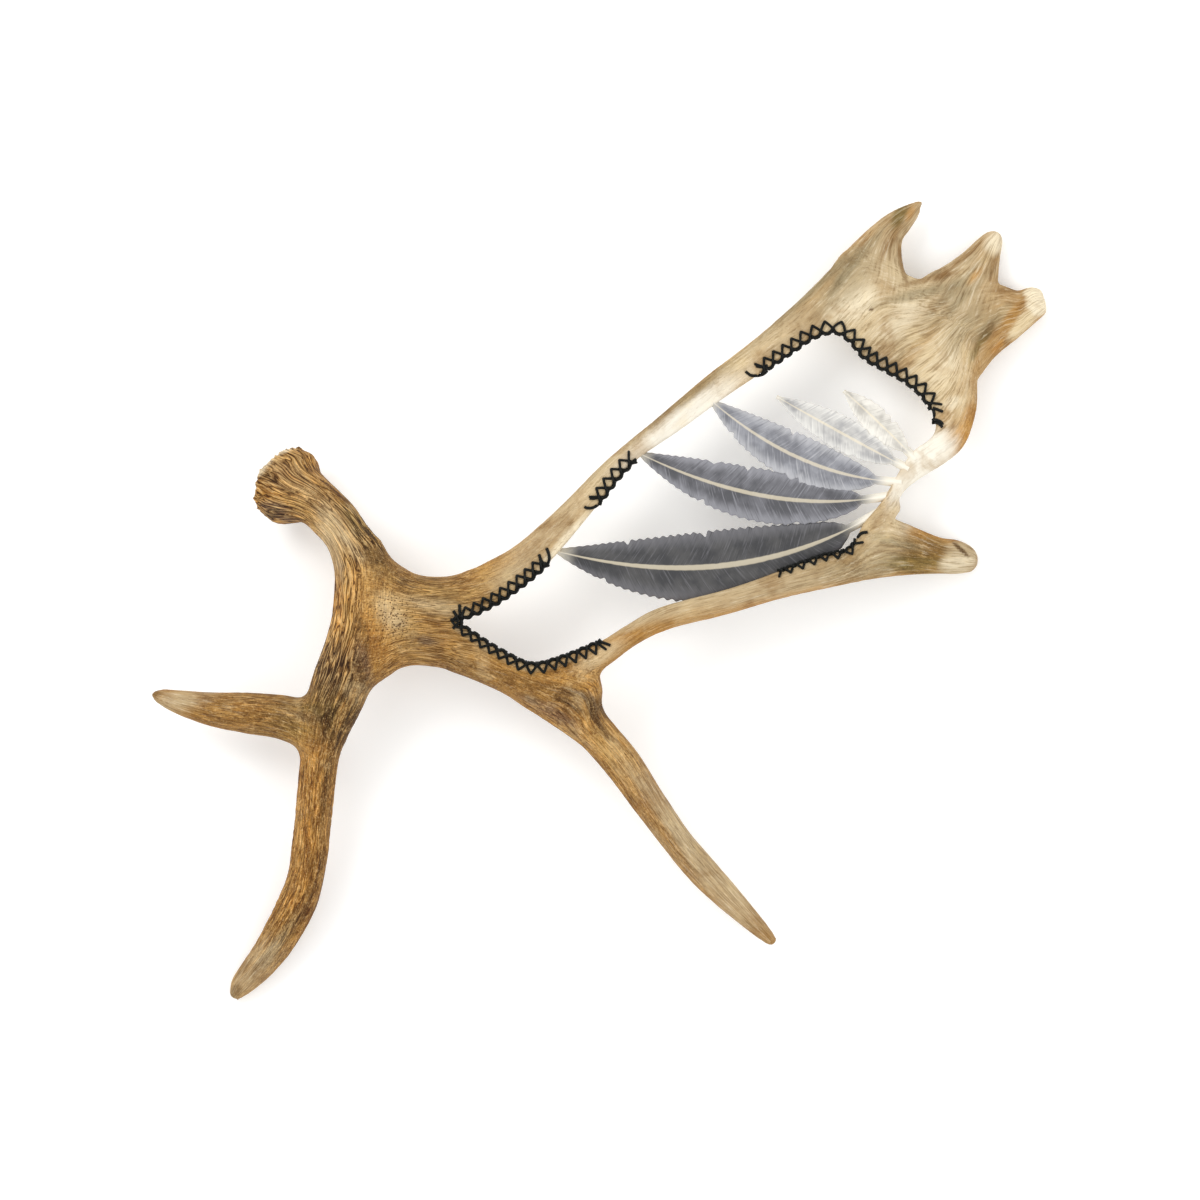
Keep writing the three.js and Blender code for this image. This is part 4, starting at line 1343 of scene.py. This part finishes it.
    def grow(self, piece: bpy.types.Object, cut: CutOut) -> None:
        """Raises flutes and ridges, sinks pits, and stores the grain, the ground tone and the wear.

        Flutes are a cosine round the beam that fades away from the burr. Ridges, swells and ribs are three
        sizes of noise along the grain, and pits the peaks of a noise that has none.

        Args:
            piece: the melted skin.
            cut: the edge of the palm's cut-out.
        """
        points, normals = points_of(piece), normals_of(piece)
        flow = flow_of(points)
        ridge = flow.noise(20, self.RIDGE, folded=True)
        swell, rib = flow.noise(40, self.SWELL), flow.noise(50, self.RIB)
        aside, above, along = flow.stem.T
        burr_end = flow.shares[Grain.STEM.value] * ease(along, self.flute_reach, 4) * (along > -20)
        burr_end *= points[:, 0] < -180
        turn = np.arctan2(above, aside)
        flute = np.cos(self.flutes * turn + 2.2 * np.sin(3 * turn) + 0.9 * np.sin(7 * turn)) * burr_end
        edge = cut.distance(points)
        pitted = self.pitted(points)
        pits = pitted * ease(Lattice(61).at(points @ self.SLANT / self.pit_size), *self.PIT)
        tones, worn, bare = self.ground(points, flow, edge)
        grooved = flow.ridges * (1 - worn) * (0.4 + 0.6 * ease(flow.depth, 8, 14))
        lift = 1.3 * (ridge - 0.62) + 0.8 * (swell - 0.5) + 0.7 * (rib - 0.5)
        lift *= self.ridge_height * grooved * ease(edge, 2, 9)
        lift += self.flute_height * flute
        lift -= self.pit_depth * pits
        lift += 0.2 * (Lattice(62).at(points / 4.5) - 0.5)
        set_points(piece, points + normals * lift[:, None])

        hollow = 0.55 * ease(ridge, 0.45, 0.12) * grooved + 0.3 * ease(rib, 0.35, 0.2) * grooved
        hollow += 0.25 * ease(flute, -0.1, -0.8) + pits
        for kind, vectors in zip(Grain, flow.vectors):
            set_attribute(piece, f"grain_{kind.name.lower()}", vectors)
        set_attribute(piece, "grain_shares", flow.shares.T)
        set_attribute(piece, "wear", np.stack([grooved, np.clip(hollow, 0, 1), pitted], axis=1))
        set_attribute(piece, "ground", tones, "FLOAT_COLOR")
        lined = self.lined(points) * grooved * ease(flow.shares.max(0), 0.55, 0.9)
        set_attribute(piece, "lined", lined, "FLOAT")
        set_attribute(piece, "streaked", (1 - grooved) * (1 - 0.8 * bare), "FLOAT")

    def lined(self, points: Array) -> Array:
        """How far long grooves take the place of short ones: on the beam, the fork and the neck."""
        beam = ease(points[:, 1], -100, -60) * ease(points[:, 0], -60, -140)
        return beam * (1 - 0.7 * self.pitted(points))

    def pitted(self, points: Array) -> Array:
        """How pitted the bone is: most on the fork's pale swelling, a little behind the burr."""
        return np.clip(self.SWELLING.at(points) + 0.3 * self.BEHIND_BURR.at(points), 0, 1)

    def ground(self, points: Array, flow: Flow, edge: Array) -> tuple[Array, Array, Array]:
        """The ground tone, with each stain's edge broken up along the grain.

        Args:
            points: rows of places in millimetres.
            flow: the grain at those places.
            edge: how far they lie from the cut-out's edge.

        Returns:
            A linear colour per point, how far wear has taken its grooves, and how far chalky or scraped
            bone covers its streaks, both from 0 to 1.
        """
        ragged = 0.6 * flow.noise(80, self.RAGGED) + 0.4 * flow.noise(90, self.FRAYED)
        tones = np.tile(linear(Tone.TAN.value), (len(points), 1))
        worn, bare = np.zeros((2, len(points)))
        band = 0.6 * ease(edge + 5 * (ragged - 0.5), self.scraped, 0.45 * self.scraped)
        tones += band[:, None] * (np.array(linear(Tone.SAND.value)) - tones)
        for stain in STAINS:
            cover = stain.cover(points, ragged)
            tones += cover[:, None] * (np.array(linear(stain.tone.value)) - tones)
            bare += cover * (self.BARED.get(stain.tone, 0.0) - bare)
            worn += cover * (self.WORN.get(stain.tone, 0.0) - worn)
        return tones, np.maximum(worn, bare), bare

    def dress(self, piece: bpy.types.Object) -> None:
        """Gives the antler its finish and its place in the frame."""
        finish_piece(piece, GrownAntler().build(), self.NODES)


# ---------------------------------------------------------------------------------------------------------
# Feathers
# ---------------------------------------------------------------------------------------------------------


@dataclass(frozen=True)
class PaintedBone:
    """Carved antler under thin artist's acrylic: satin, brushed along the barbs, bare ivory at both ends.

    Attributes:
        name: the material's name.
        vane: the paint's main colour.
        shade: the paint along the shaft and in the grooves.
        light: the paint at the vane's edges.
        cloud: the size of the paint's clouds, in millimetres.
        relief: how deep the brush strokes are, in millimetres.
        roughness: of the paint.
        specular: how strongly it mirrors.
    """

    name: str
    vane: str
    shade: str
    light: str
    cloud: float = 16.0
    relief: float = 0.4
    roughness: float = 0.5
    specular: float = 0.4

    def build(self) -> bpy.types.Material:
        """Makes the material.

        The attribute "vane" holds the share along the feather and the share across it, and "barbs" places
        for the brush strokes, drawn out along the barbs.
        """
        material, tree, shader = new_material(self.name)
        vane = add(tree, "ShaderNodeAttribute", attribute_name="vane").outputs["Vector"]
        along, across, _ = add(tree, "ShaderNodeSeparateXYZ", {0: vane}).outputs
        place = add(tree, "ShaderNodeTexCoord").outputs["Object"]
        barbs = add(tree, "ShaderNodeAttribute", attribute_name="barbs").outputs["Vector"]
        strokes = {"Vector": barbs, "Scale": 1.0, "Detail": 3.0, "Roughness": 0.6}
        brushed = add(tree, "ShaderNodeTexNoise", strokes).outputs["Fac"]
        clouds = {"Vector": place, "Scale": 1 / (self.cloud * MM), "Detail": 3.0}
        cloud = add(tree, "ShaderNodeTexNoise", clouds).outputs["Fac"]

        coats = (
            # Paint in clouds and brush strokes along the barbs.
            Coat(cloud, 0.35, 0.65, 1.0, self.shade),
            Coat(across, 0.45, 1.0, 0.75, self.light),
            Coat(brushed, 0.52, 0.7, 0.6, self.light),
            Coat(brushed, 0.46, 0.3, 0.7, self.shade),
            # Bare bone along the shaft, on the quill and at the tip.
            Coat(across, 0.1, 0.04, 0.8, Tone.CREAM.value),
            Coat(along, 0.16, 0.06, 1.0, Tone.IVORY.value),
            Coat(along, 0.93, 1.0, 0.9, Tone.IVORY.value),
        )
        relief = {"Strength": 0.5, "Distance": self.relief * MM, "Height": brushed}
        bump = add(tree, "ShaderNodeBump", relief).outputs["Normal"]
        tree.links.new(coated(tree, linear(self.vane), coats), shader.inputs["Base Color"])
        tree.links.new(bump, shader.inputs["Normal"])
        shader.inputs["Roughness"].default_value = self.roughness
        shader.inputs["Specular IOR Level"].default_value = self.specular
        return material


@dataclass
class Feather:
    """One carved feather: a ridged shaft with a vane on each side, bent along a quadratic curve.

    Attributes:
        name: the piece's name.
        root: where the quill leaves the rim.
        bend: the point that bends the shaft.
        tip: the shaft's end.
        half: the vane's greatest half width.
        lift: how far it lies above the dome.
        paint: its finish.
    """

    name: str
    root: tuple[float, float]
    bend: tuple[float, float]
    tip: tuple[float, float]
    half: float
    lift: float
    paint: PaintedBone

    HALF_DEPTH = 5.0
    QUILL_HALF = 4.0
    QUILL_SHARE = 0.12
    ROWS = 300
    ACROSS = 26
    # How far the vane's edge lies ahead of the shaft, and how far the barbs sweep, for each millimetre
    # away from it.
    SWEEP = 0.3
    BARB_SWEEP = 0.9
    BARB_PITCH = 4.2
    # The heights of the vane's arch, the shaft on it, the grooves in it and the underside, as shares of
    # the half depth.
    ARCH, SHAFT, GROOVE, UNDER = 0.62, 0.4, 0.085, 0.75
    SHAFT_HALF = 2.6
    # Notches: their pitch in millimetres and their depth as a share of the width. Splits: how many, half
    # their length and their depth.
    NOTCH_PITCH, NOTCH = 7.3, 0.03
    SPLITS, SPLIT_HALF, SPLIT = 4, 3.4, 0.16
    # The brush strokes' sizes across and along the barbs.
    STROKE = (1.5, 22.0)

    def build(self) -> bpy.types.Object:
        """Carries the section along the shaft.

        The shaft is root(1-u)² + 2·bend·u(1-u) + tip·u². The half width is half·sin(π·v^0.8)^0.75, where
        v is the share of the vane, and never less than the quill's. The section's top is a low arch with
        the shaft's ridge on it, less a groove every barb pitch along lines that sweep towards the tip. Its
        underside is a shallow arch. Splits and fine notches break the vane's edge.

        Returns:
            The feather's piece.
        """
        u = np.linspace(0, 1, self.ROWS)[:, None]
        root, bend, tip = (np.array(p, float) for p in (self.root, self.bend, self.tip))
        shaft = root * (1 - u) ** 2 + 2 * bend * u * (1 - u) + tip * u**2
        heading = unit(np.gradient(shaft, axis=0))
        sideways = np.stack([-heading[:, 1], heading[:, 0]], axis=1)
        length = np.concatenate([[0], np.cumsum(np.linalg.norm(np.diff(shaft, axis=0), axis=1))])[:, None]
        vane = np.maximum(0, (u - self.QUILL_SHARE) / (1 - self.QUILL_SHARE))
        full = np.maximum(self.QUILL_HALF * (1 - 0.55 * u), self.half * np.sin(math.pi * vane**0.8) ** 0.75)

        spread = np.sin(np.linspace(-math.pi / 2, math.pi / 2, self.ACROSS))
        side = np.concatenate([spread, spread[-2:0:-1]])[None, :]
        over = np.concatenate([np.ones(self.ACROSS), -np.ones(self.ACROSS - 2)])[None, :]
        random = np.random.default_rng(len(self.name) + int(self.half))
        notch = 1 - self.NOTCH * (1 + np.sin(2 * math.pi * length / self.NOTCH_PITCH + 2 * np.sign(side)))
        for _ in range(self.SPLITS):
            centre, which = random.uniform(0.3, 0.85), random.choice((-1.0, 1.0))
            split = np.clip(1 - np.abs(length - centre * length[-1]) / self.SPLIT_HALF, 0, 1)
            notch = notch - self.SPLIT * split * (np.sign(side) == which)
        width = full * np.where(vane > 0.02, notch, 1)
        away = side * width
        ahead = self.SWEEP * np.abs(away) * ease(vane, 0, 0.2) * ease(vane, 1.0, 0.75)
        x = shaft[:, :1] + sideways[:, :1] * away + heading[:, :1] * ahead
        y = shaft[:, 1:] + sideways[:, 1:] * away + heading[:, 1:] * ahead

        barb = (length + self.BARB_SWEEP * np.abs(away)) / self.BARB_PITCH
        groove = 0.5 - 0.5 * np.cos(2 * math.pi * barb)
        grooved = ease(np.abs(side), 0.08, 0.25) * ease(np.abs(side), 1.0, 0.86) * ease(vane, 0, 0.12)
        ridge = np.exp(-((away / (self.SHAFT_HALF * (1 - 0.5 * u))) ** 2))
        arch = self.ARCH * np.sqrt(np.maximum(1 - np.abs(side) ** 2.4, 0))
        top = arch + self.SHAFT * ridge - self.GROOVE * groove * grooved
        bottom = -self.UNDER * np.sqrt(np.maximum(1 - side**2, 0))
        z = DOME.height(x, y) + self.lift + self.HALF_DEPTH * np.where(over > 0, top, bottom)

        ends = [np.array([*p, DOME.height(*p) + self.lift]) for p in (root, tip)]
        shape = Shape.of_rings(np.stack([x, y, z], axis=2), *ends)
        piece = shape.piece(self.name)
        none = np.zeros(x.size)
        across = np.abs(np.broadcast_to(side, x.shape)).ravel()
        rows = np.stack([np.broadcast_to(u, x.shape).ravel(), across, none], axis=1)
        set_attribute(piece, "vane", np.concatenate([rows, [[0, 0, 0], [1, 0, 0]]]))
        wide, long = self.STROKE
        strokes = np.stack([barb.ravel() * self.BARB_PITCH / wide, away.ravel() / long, none], axis=1)
        set_attribute(piece, "barbs", np.concatenate([strokes, np.zeros((2, 3))]))
        return piece

    def dress(self, piece: bpy.types.Object) -> None:
        """Gives the feather its paint and its place in the frame."""
        finish_piece(piece, self.paint.build())


FEATHERS = (
    Feather("feather_first", (241, 77), (119, -1), (-39, 41), 31, -1.5,
            PaintedBone("charcoal_acrylic_on_bone", "#4b4a4a", "#38383a", "#6d6c70")),
    Feather("feather_second", (248, 88), (144, 67), (31, 124), 23, 0,
            PaintedBone("slate_acrylic_on_bone", "#6b6b70", "#505054", "#96969c")),
    Feather("feather_third", (255, 99), (170, 101), (92, 169), 20, 1,
            PaintedBone("silver_acrylic_on_bone", "#96979d", "#74757b", "#bcbcbf")),
    Feather("feather_fourth", (261, 110), (212, 135), (149, 171), 15, 1.5,
            PaintedBone("pearl_acrylic_on_bone", "#cfcdc8", "#a5a4a4", "#e8e6e0")),
    Feather("feather_fifth", (267, 118), (238, 148), (206, 176), 12, 2,
            PaintedBone("off_white_acrylic_on_bone", "#e6e2d8", "#bcb8b0", "#f3efe6")),
)


# ---------------------------------------------------------------------------------------------------------
# Lace
# ---------------------------------------------------------------------------------------------------------


@dataclass(frozen=True)
class WaxedCord:
    """Black waxed cotton cord, laid of three strands: near black, with a soft broken sheen on its turns.

    Attributes:
        colour: of the waxed cotton.
        worn: of the cotton where the wax is rubbed off.
        patch: the size of the rubbed places, in millimetres.
        twist: millimetres along the cord for one turn of the lay.
        strands: how many strands are laid together.
        relief: how high the lay stands, in millimetres.
        roughness: of the wax.
        specular: how strongly it mirrors.
    """

    colour: str = "#060806"
    worn: str = "#0f110c"
    patch: float = 3.0
    twist: float = 5.0
    strands: int = 3
    relief: float = 0.3
    roughness: float = 0.6
    specular: float = 0.25

    def build(self) -> bpy.types.Material:
        """Makes the material. The attribute "cord" holds the share round and the millimetres along."""
        material, tree, shader = new_material("black_waxed_cotton_cord")
        cord = add(tree, "ShaderNodeAttribute", attribute_name="cord").outputs["Vector"]
        around, along, _ = add(tree, "ShaderNodeSeparateXYZ", {0: cord}).outputs
        turned = {0: along, 1: 1 / self.twist, 2: around}
        turned = add(tree, "ShaderNodeMath", turned, operation="MULTIPLY_ADD").outputs[0]
        phase = {0: turned, 1: 2 * math.pi * self.strands}
        phase = add(tree, "ShaderNodeMath", phase, operation="MULTIPLY").outputs[0]
        lay = add(tree, "ShaderNodeMath", {0: phase}, operation="SINE").outputs[0]
        relief = {"Strength": 0.8, "Distance": self.relief * MM, "Height": lay}
        bump = add(tree, "ShaderNodeBump", relief).outputs["Normal"]
        place = add(tree, "ShaderNodeTexCoord").outputs["Object"]
        patches = {"Vector": place, "Scale": 1 / (self.patch * MM), "Detail": 3.0}
        rubbed = add(tree, "ShaderNodeTexNoise", patches).outputs["Fac"]
        colours = {0: rubbed, 6: linear(self.colour), 7: linear(self.worn)}
        tone = add(tree, "ShaderNodeMix", colours, data_type="RGBA").outputs[2]
        tree.links.new(tone, shader.inputs["Base Color"])
        tree.links.new(bump, shader.inputs["Normal"])
        shader.inputs["Roughness"].default_value = self.roughness
        shader.inputs["Specular IOR Level"].default_value = self.specular
        return material


@dataclass(frozen=True)
class Stitch:
    """How the lace is sewn at one place on the cut-out's edge.

    Attributes:
        share: the share of the cut-out's length where the place is.
        inset: how far the holes lie from the edge, in millimetres.
        reach: how many pitches along the edge from its hole a strand wraps round it.
    """

    share: float
    inset: float
    reach: float


@dataclass
class Lacing:
    """One run of lace: two strands that cross on the upper face and wrap round the cut-out's edge.

    Attributes:
        name: the piece's name.
        node: the CAD node that it stands for.
        pitch: millimetres from hole to hole.
        stitches: how it is sewn at its start, at places between and at its end.
        edge_radius: the radius of the bunched cord along the edge.
        tails: loose ends that lie on the antler, as places on the plan.
    """

    name: str
    node: str
    pitch: float
    stitches: Sequence[Stitch]
    edge_radius: float = 1.55
    tails: Sequence[Sequence[tuple[float, float]]] = ()

    RADIUS = 1.15
    SIDES = 8
    STEPS = 5
    # How far the cord swings out over the cut-out where it wraps round the edge, and how far in from the
    # edge the skin's height is asked for, clear of its rounded corner.
    WRAP = 1.2
    SAFE_INSET = 2.6
    # A stitch's ten points: the shares of the way under the antler, each point's share of the way up from
    # the lower face to the upper one, and which of them is the crossing.
    UNDER = np.array([0.0, 0.35, 0.7, 1.0])
    RISE = np.array([0.5, 1, 1, 1, 1, 0.75, 0.3, 0, 0, 0])
    CROSSING = np.arange(10) == 3
    # How far the strand on top rises over the other, in cord radii, and how high a cord's middle lies.
    OVER = 1.6
    REST = 0.85

    def holes(self, cut: CutOut) -> Array:
        """Rows of share, inset and reach, one for each hole."""
        known = np.array([(stitch.share, stitch.inset, stitch.reach) for stitch in self.stitches])
        count = round((known[-1, 0] - known[0, 0]) * cut.whole / self.pitch)
        share = np.linspace(known[0, 0], known[-1, 0], count + 1)
        return np.stack([share, *(np.interp(share, known[:, 0], known[:, k]) for k in (1, 2))], axis=1)

    def strand(self, holes: Array, cut: CutOut, skin: "Skin", second: bool) -> Array:
        """The path of one strand, from hole to edge to hole.

        From each hole it runs over the face to the edge some way on, dips round the edge, and goes on under
        the antler to the next hole, where it rises. The second strand does the same from the other end, and
        rides over the first where they cross, half way between two holes.

        Args:
            holes: rows of share, inset and reach, in the order the strand takes them.
            cut: the cut-out's edge.
            skin: the antler's surface, to rest the cord on.
            second: whether this strand passes over the other.

        Returns:
            The path's points.
        """
        here, depth, reach = (column[:, None] for column in holes[:-1].T)
        there, later = holes[1:, :1], holes[1:, 1:2]
        edge = here + (there - here) * reach
        cross = np.clip(0.5 / reach, 0.5, 0.92)
        none = np.zeros_like(cross)
        ahead = np.hstack([none, none + 0.04, cross / 2, cross, (1 + cross) / 2, none + 1])
        under = self.UNDER
        shares = np.hstack([here + (edge - here) * ahead, edge + (there - edge) * under])
        above, below = depth * (1 - ahead) - self.WRAP * ahead, later * under - self.WRAP * (1 - under)
        insets = np.hstack([above, below])
        rise, crossing = (np.tile(pattern, len(here)) for pattern in (self.RISE, self.CROSSING))
        plan = cut.at(shares.ravel(), insets.ravel())
        inner = cut.at(shares.ravel(), np.maximum(insets.ravel(), self.SAFE_INSET))
        high, low = skin.over(inner), skin.under(inner)
        z = low + (high - low) * rise + self.REST * self.RADIUS * ((rise == 1).astype(float) - (rise == 0))
        z += self.OVER * self.RADIUS * crossing * second
        return spline(np.column_stack([plan, z]), self.STEPS)

    def edge_strand(self, holes: Array, cut: CutOut, skin: "Skin") -> Array:
        """The bunched cord along the edge: it bulges over the cut-out at every hole."""
        shares = holes[:, 0]
        place = np.linspace(shares[0], shares[-1], 6 * len(shares))
        beat = (place - shares[0]) / (shares[1] - shares[0])
        inset = -0.5 - 0.9 * np.cos(2 * math.pi * beat)
        z = skin.over(cut.at(place, self.SAFE_INSET)) - 0.4
        return spline(np.column_stack([cut.at(place, inset), z]), 3)

    def tail(self, places: Sequence[tuple[float, float]], skin: "Skin") -> Array:
        """The path of a loose end that lies on the antler."""
        plan = spline(places, self.STEPS)
        return np.column_stack([plan, skin.over(plan) + 0.9 * self.RADIUS])

    def tube(self, path: Array, radius: float) -> tuple[Shape, Array]:
        """A round tube along a path, with flat fans at its ends.

        Its frame keeps to a slanting guide: side = heading × guide.

        Args:
            path: the points that it follows.
            radius: the cord's radius.

        Returns:
            The shape, and for each vertex its share round, the millimetres along and 0.
        """
        heading = unit(np.gradient(path, axis=0))
        guide = np.array([0.31, 0.83, 0.46])
        side = unit(np.cross(heading, guide))
        up = np.cross(side, heading)
        angle = np.linspace(0, 2 * math.pi, self.SIDES, endpoint=False)[None, :, None]
        rings = path[:, None] + radius * (np.cos(angle) * side[:, None] + np.sin(angle) * up[:, None])
        along = np.concatenate([[0], np.cumsum(np.linalg.norm(np.diff(path, axis=0), axis=1))])
        share = np.tile(np.arange(self.SIDES) / self.SIDES, len(path))
        rows = np.stack([share, np.repeat(along, self.SIDES), np.zeros(len(share))], axis=1)
        ends = np.array([[0, 0, 0], [0, along[-1], 0]])
        return Shape.of_rings(rings, path[0], path[-1]), np.concatenate([rows, ends])

    def build(self, cut: CutOut, skin: "Skin") -> bpy.types.Object:
        """Sews the run.

        Args:
            cut: the cut-out's edge.
            skin: the antler's surface.

        Returns:
            The run as one piece.
        """
        holes = self.holes(cut)
        paths = [
            (self.strand(holes, cut, skin, False), self.RADIUS),
            (self.strand(holes[::-1], cut, skin, True), self.RADIUS),
            (self.edge_strand(holes, cut, skin), self.edge_radius),
        ]
        paths += [(self.tail(places, skin), 1.15 * self.RADIUS) for places in self.tails]
        tubes = [self.tube(path, radius) for path, radius in paths]
        piece = joined([shape for shape, _ in tubes]).piece(self.name)
        set_attribute(piece, "cord", np.concatenate([rows for _, rows in tubes]))
        return piece

    def dress(self, piece: bpy.types.Object, material: bpy.types.Material) -> None:
        """Gives the run its cord and its place in the frame."""
        finish_piece(piece, material, (self.node,))


LACINGS = (
    Lacing(
        "lace_left", "lacing_left", 9.0,
        [Stitch(0.868, 8.0, 0.5), Stitch(0.93, 7.8, 0.6), Stitch(0.955, 6.6, 0.75),
         Stitch(0.985, 6.0, 0.75), Stitch(1.0, 6.4, 0.8), Stitch(1.015, 9.0, 0.9), Stitch(1.088, 9.5, 0.95)],
        tails=[
            [(-119, -18.6), (-121.5, -18), (-126, -17.2)],
            [(-119, -18), (-120.8, -14.5), (-123.4, -9.8)],
            [(-117, -16.5), (-118, -11), (-118.2, -4.5)],
            [(-118.6, -20), (-120.8, -22), (-123.8, -24.9)],
            [(-45, 43), (-43.3, 38.3), (-42.6, 33.9), (-43.5, 30.5)],
            [(-51.4, 37.7), (-50.3, 34.4), (-48.6, 31), (-44.5, 29.5)],
            [(-0.5, -36), (4, -37.2), (8.7, -39)],
        ],
    ),
    Lacing(
        "lace_upper", "lacing_upper", 9.6, [Stitch(0.153, 9.5, 0.85), Stitch(0.201, 9.5, 0.85)],
        tails=[
            [(-13, 77.6), (-10.6, 76.6), (-5.8, 77), (-1.6, 79.6), (1.6, 83.4)],
            [(-8.8, 84.8), (-4.6, 84.8), (0.5, 86.2)],
            [(24.5, 113), (27.5, 115.4), (30.5, 118)],
        ],
    ),
    Lacing(
        "lace_top", "lacing_top", 9.7,
        [Stitch(0.328, 9.0, 0.8), Stitch(0.4, 9.5, 0.8), Stitch(0.505, 9.5, 0.75)],
        tails=[
            [(123, 192), (127.5, 188.8), (132.9, 188.6), (138, 190), (141.5, 193)],
            [(131.7, 196.8), (136, 196), (141.5, 197)],
            [(281.5, 161.5), (286, 160), (290, 158.4)],
            [(281.5, 161), (282.8, 155.5), (282.5, 150)],
            [(281, 151.2), (284, 151.6), (288, 150), (290, 147.5)],
            [(281, 149), (284, 149.2), (287.5, 147.6), (289.5, 145.2)],
        ],
    ),
    Lacing(
        "lace_lower", "lacing_lower", 10.3,
        [Stitch(0.637, 6.0, 0.45), Stitch(0.655, 4.6, 0.42), Stitch(0.71, 4.2, 0.4)],
        edge_radius=1.2,
        tails=[[(217.5, 52), (220.5, 55.5), (226, 56.5)]],
    ),
)


class Skin:
    """The antler's surface, asked for its height over a place on the plan."""

    # How far above and below the antler the plumb lines start, in millimetres.
    START = 400

    def __init__(self, piece: bpy.types.Object) -> None:
        """Builds the tree of the piece's faces."""
        self.tree = BVHTree.FromObject(piece, bpy.context.evaluated_depsgraph_get())

    def probe(self, plan: Array, start: float, down: bool) -> Array:
        """The height of the first face that a plumb line meets, or the dome's where it meets none."""
        heading = Vector((0, 0, -1 if down else 1))
        found = []
        for x, y in plan:
            hit, *_ = self.tree.ray_cast(Vector((x, y, start)) * MM, heading)
            found.append(hit.z / MM if hit else float(DOME.height(x, y)))
        return np.array(found)

    def over(self, plan: Array) -> Array:
        """The height of the upper face over each place."""
        return self.probe(plan, self.START, True)

    def under(self, plan: Array) -> Array:
        """The height of the lower face under each place."""
        return self.probe(plan, -self.START, False)


# ---------------------------------------------------------------------------------------------------------
# Studio
# ---------------------------------------------------------------------------------------------------------


@dataclass(frozen=True)
class WhitePaper:
    """Matt white paper on a light table: it scatters evenly and glows faintly, so shadows on it are pale.

    Attributes:
        colour: of the paper.
        glow: the strength of its own light.
        roughness: of its surface.
        specular: how strongly it mirrors.
    """

    colour: str = "#fbfbfa"
    glow: float = 0.14
    roughness: float = 0.9
    specular: float = 0.1

    def build(self) -> bpy.types.Material:
        """Makes the material."""
        material, _, shader = new_material("matt_white_paper")
        shader.inputs["Base Color"].default_value = linear(self.colour)
        shader.inputs["Roughness"].default_value = self.roughness
        shader.inputs["Specular IOR Level"].default_value = self.specular
        shader.inputs["Emission Color"].default_value = (1, 1, 1, 1)
        shader.inputs["Emission Strength"].default_value = self.glow
        return material


@dataclass(frozen=True)
class Lamp:
    """A square soft light.

    Attributes:
        name: the light's name.
        place: where it hangs, in metres.
        size: its side in metres.
        power: its power in watts.
    """

    name: str
    place: tuple[float, float, float]
    size: float
    power: float

    def hang(self, target: Vector) -> None:
        """Hangs it in its place, turned to the target and hidden from the camera."""
        data = bpy.data.lights.new(self.name, "AREA")
        data.size, data.energy = self.size, self.power
        lamp = bpy.data.objects.new(self.name, data)
        lamp.location = self.place
        lamp.rotation_euler = (target - Vector(self.place)).to_track_quat("-Z", "Y").to_euler()
        lamp.visible_camera = False
        bpy.context.scene.collection.objects.link(lamp)


@dataclass
class Studio:
    """A pale floor, soft light from all sides, and a camera that looks straight down.

    Attributes:
        view_width: the width that the camera takes in at the antler's middle height, in metres.
        lens: the camera's focal length in millimetres.
        centre: what the camera looks at, in metres.
        floor_half: half the floor's side, in metres.
        sky: the strength of the light from all sides.
        lamps: the main light and a weaker one across from it.
    """

    view_width: float = 1.0165
    lens: float = 300.0
    centre: tuple[float, float, float] = (0.0, -0.00085, 0.03)
    floor_half: float = 40.0
    sky: float = 0.95
    lamps: tuple[Lamp, ...] = (
        Lamp("key_light", (-1.9, 1.9, 2.6), 1.8, 50.0),
        Lamp("fill_light", (2.4, -1.2, 2.6), 2.2, 22.0),
    )

    def floor(self) -> None:
        """A wide sheet of paper at the height of the solids' lowest point."""
        half = self.floor_half
        corners = [(-half, -half, 0), (half, -half, 0), (half, half, 0), (-half, half, 0)]
        mesh = bpy.data.meshes.new("floor")
        mesh.from_pydata(corners, [], [(0, 1, 2, 3)])
        mesh.materials.append(WhitePaper().build())
        floor = bpy.data.objects.new("floor", mesh)
        floor.location.z = CAD_BOX[0].z
        bpy.context.scene.collection.objects.link(floor)

    def camera(self) -> None:
        """A long lens straight above the antler."""
        data = bpy.data.cameras.new("camera")
        data.lens, data.clip_end = self.lens, 100.0
        camera = bpy.data.objects.new("camera", data)
        distance = self.view_width * self.lens / data.sensor_width
        camera.location = Vector(self.centre) + Vector((0, 0, distance))
        bpy.context.scene.collection.objects.link(camera)
        bpy.context.scene.camera = camera

    def build(self) -> None:
        """Sets up the floor, the lights, the sky and the camera."""
        scene = bpy.context.scene
        scene.view_settings.view_transform = "Standard"
        world = bpy.data.worlds.new("soft_sky")
        world.use_nodes = True
        world.node_tree.nodes["Background"].inputs["Color"].default_value = (1, 1, 1, 1)
        world.node_tree.nodes["Background"].inputs["Strength"].default_value = self.sky
        scene.world = world
        self.floor()
        for lamp in self.lamps:
            lamp.hang(Vector(self.centre))
        self.camera()


def main() -> None:
    """Builds the studio, the antler, the feathers and the lace, and reports each piece."""
    logging.basicConfig(level=logging.INFO, format="%(name)s: %(message)s")
    Studio().build()
    cut = CutOut()
    antler = Antler()
    bone = antler.build(cut)
    antler.dress(bone)
    for feather in FEATHERS:
        feather.dress(feather.build())
    skin = Skin(bone)
    cord = WaxedCord().build()
    for lacing in LACINGS:
        lacing.dress(lacing.build(cut, skin), cord)


if __name__ == "__main__":
    main()
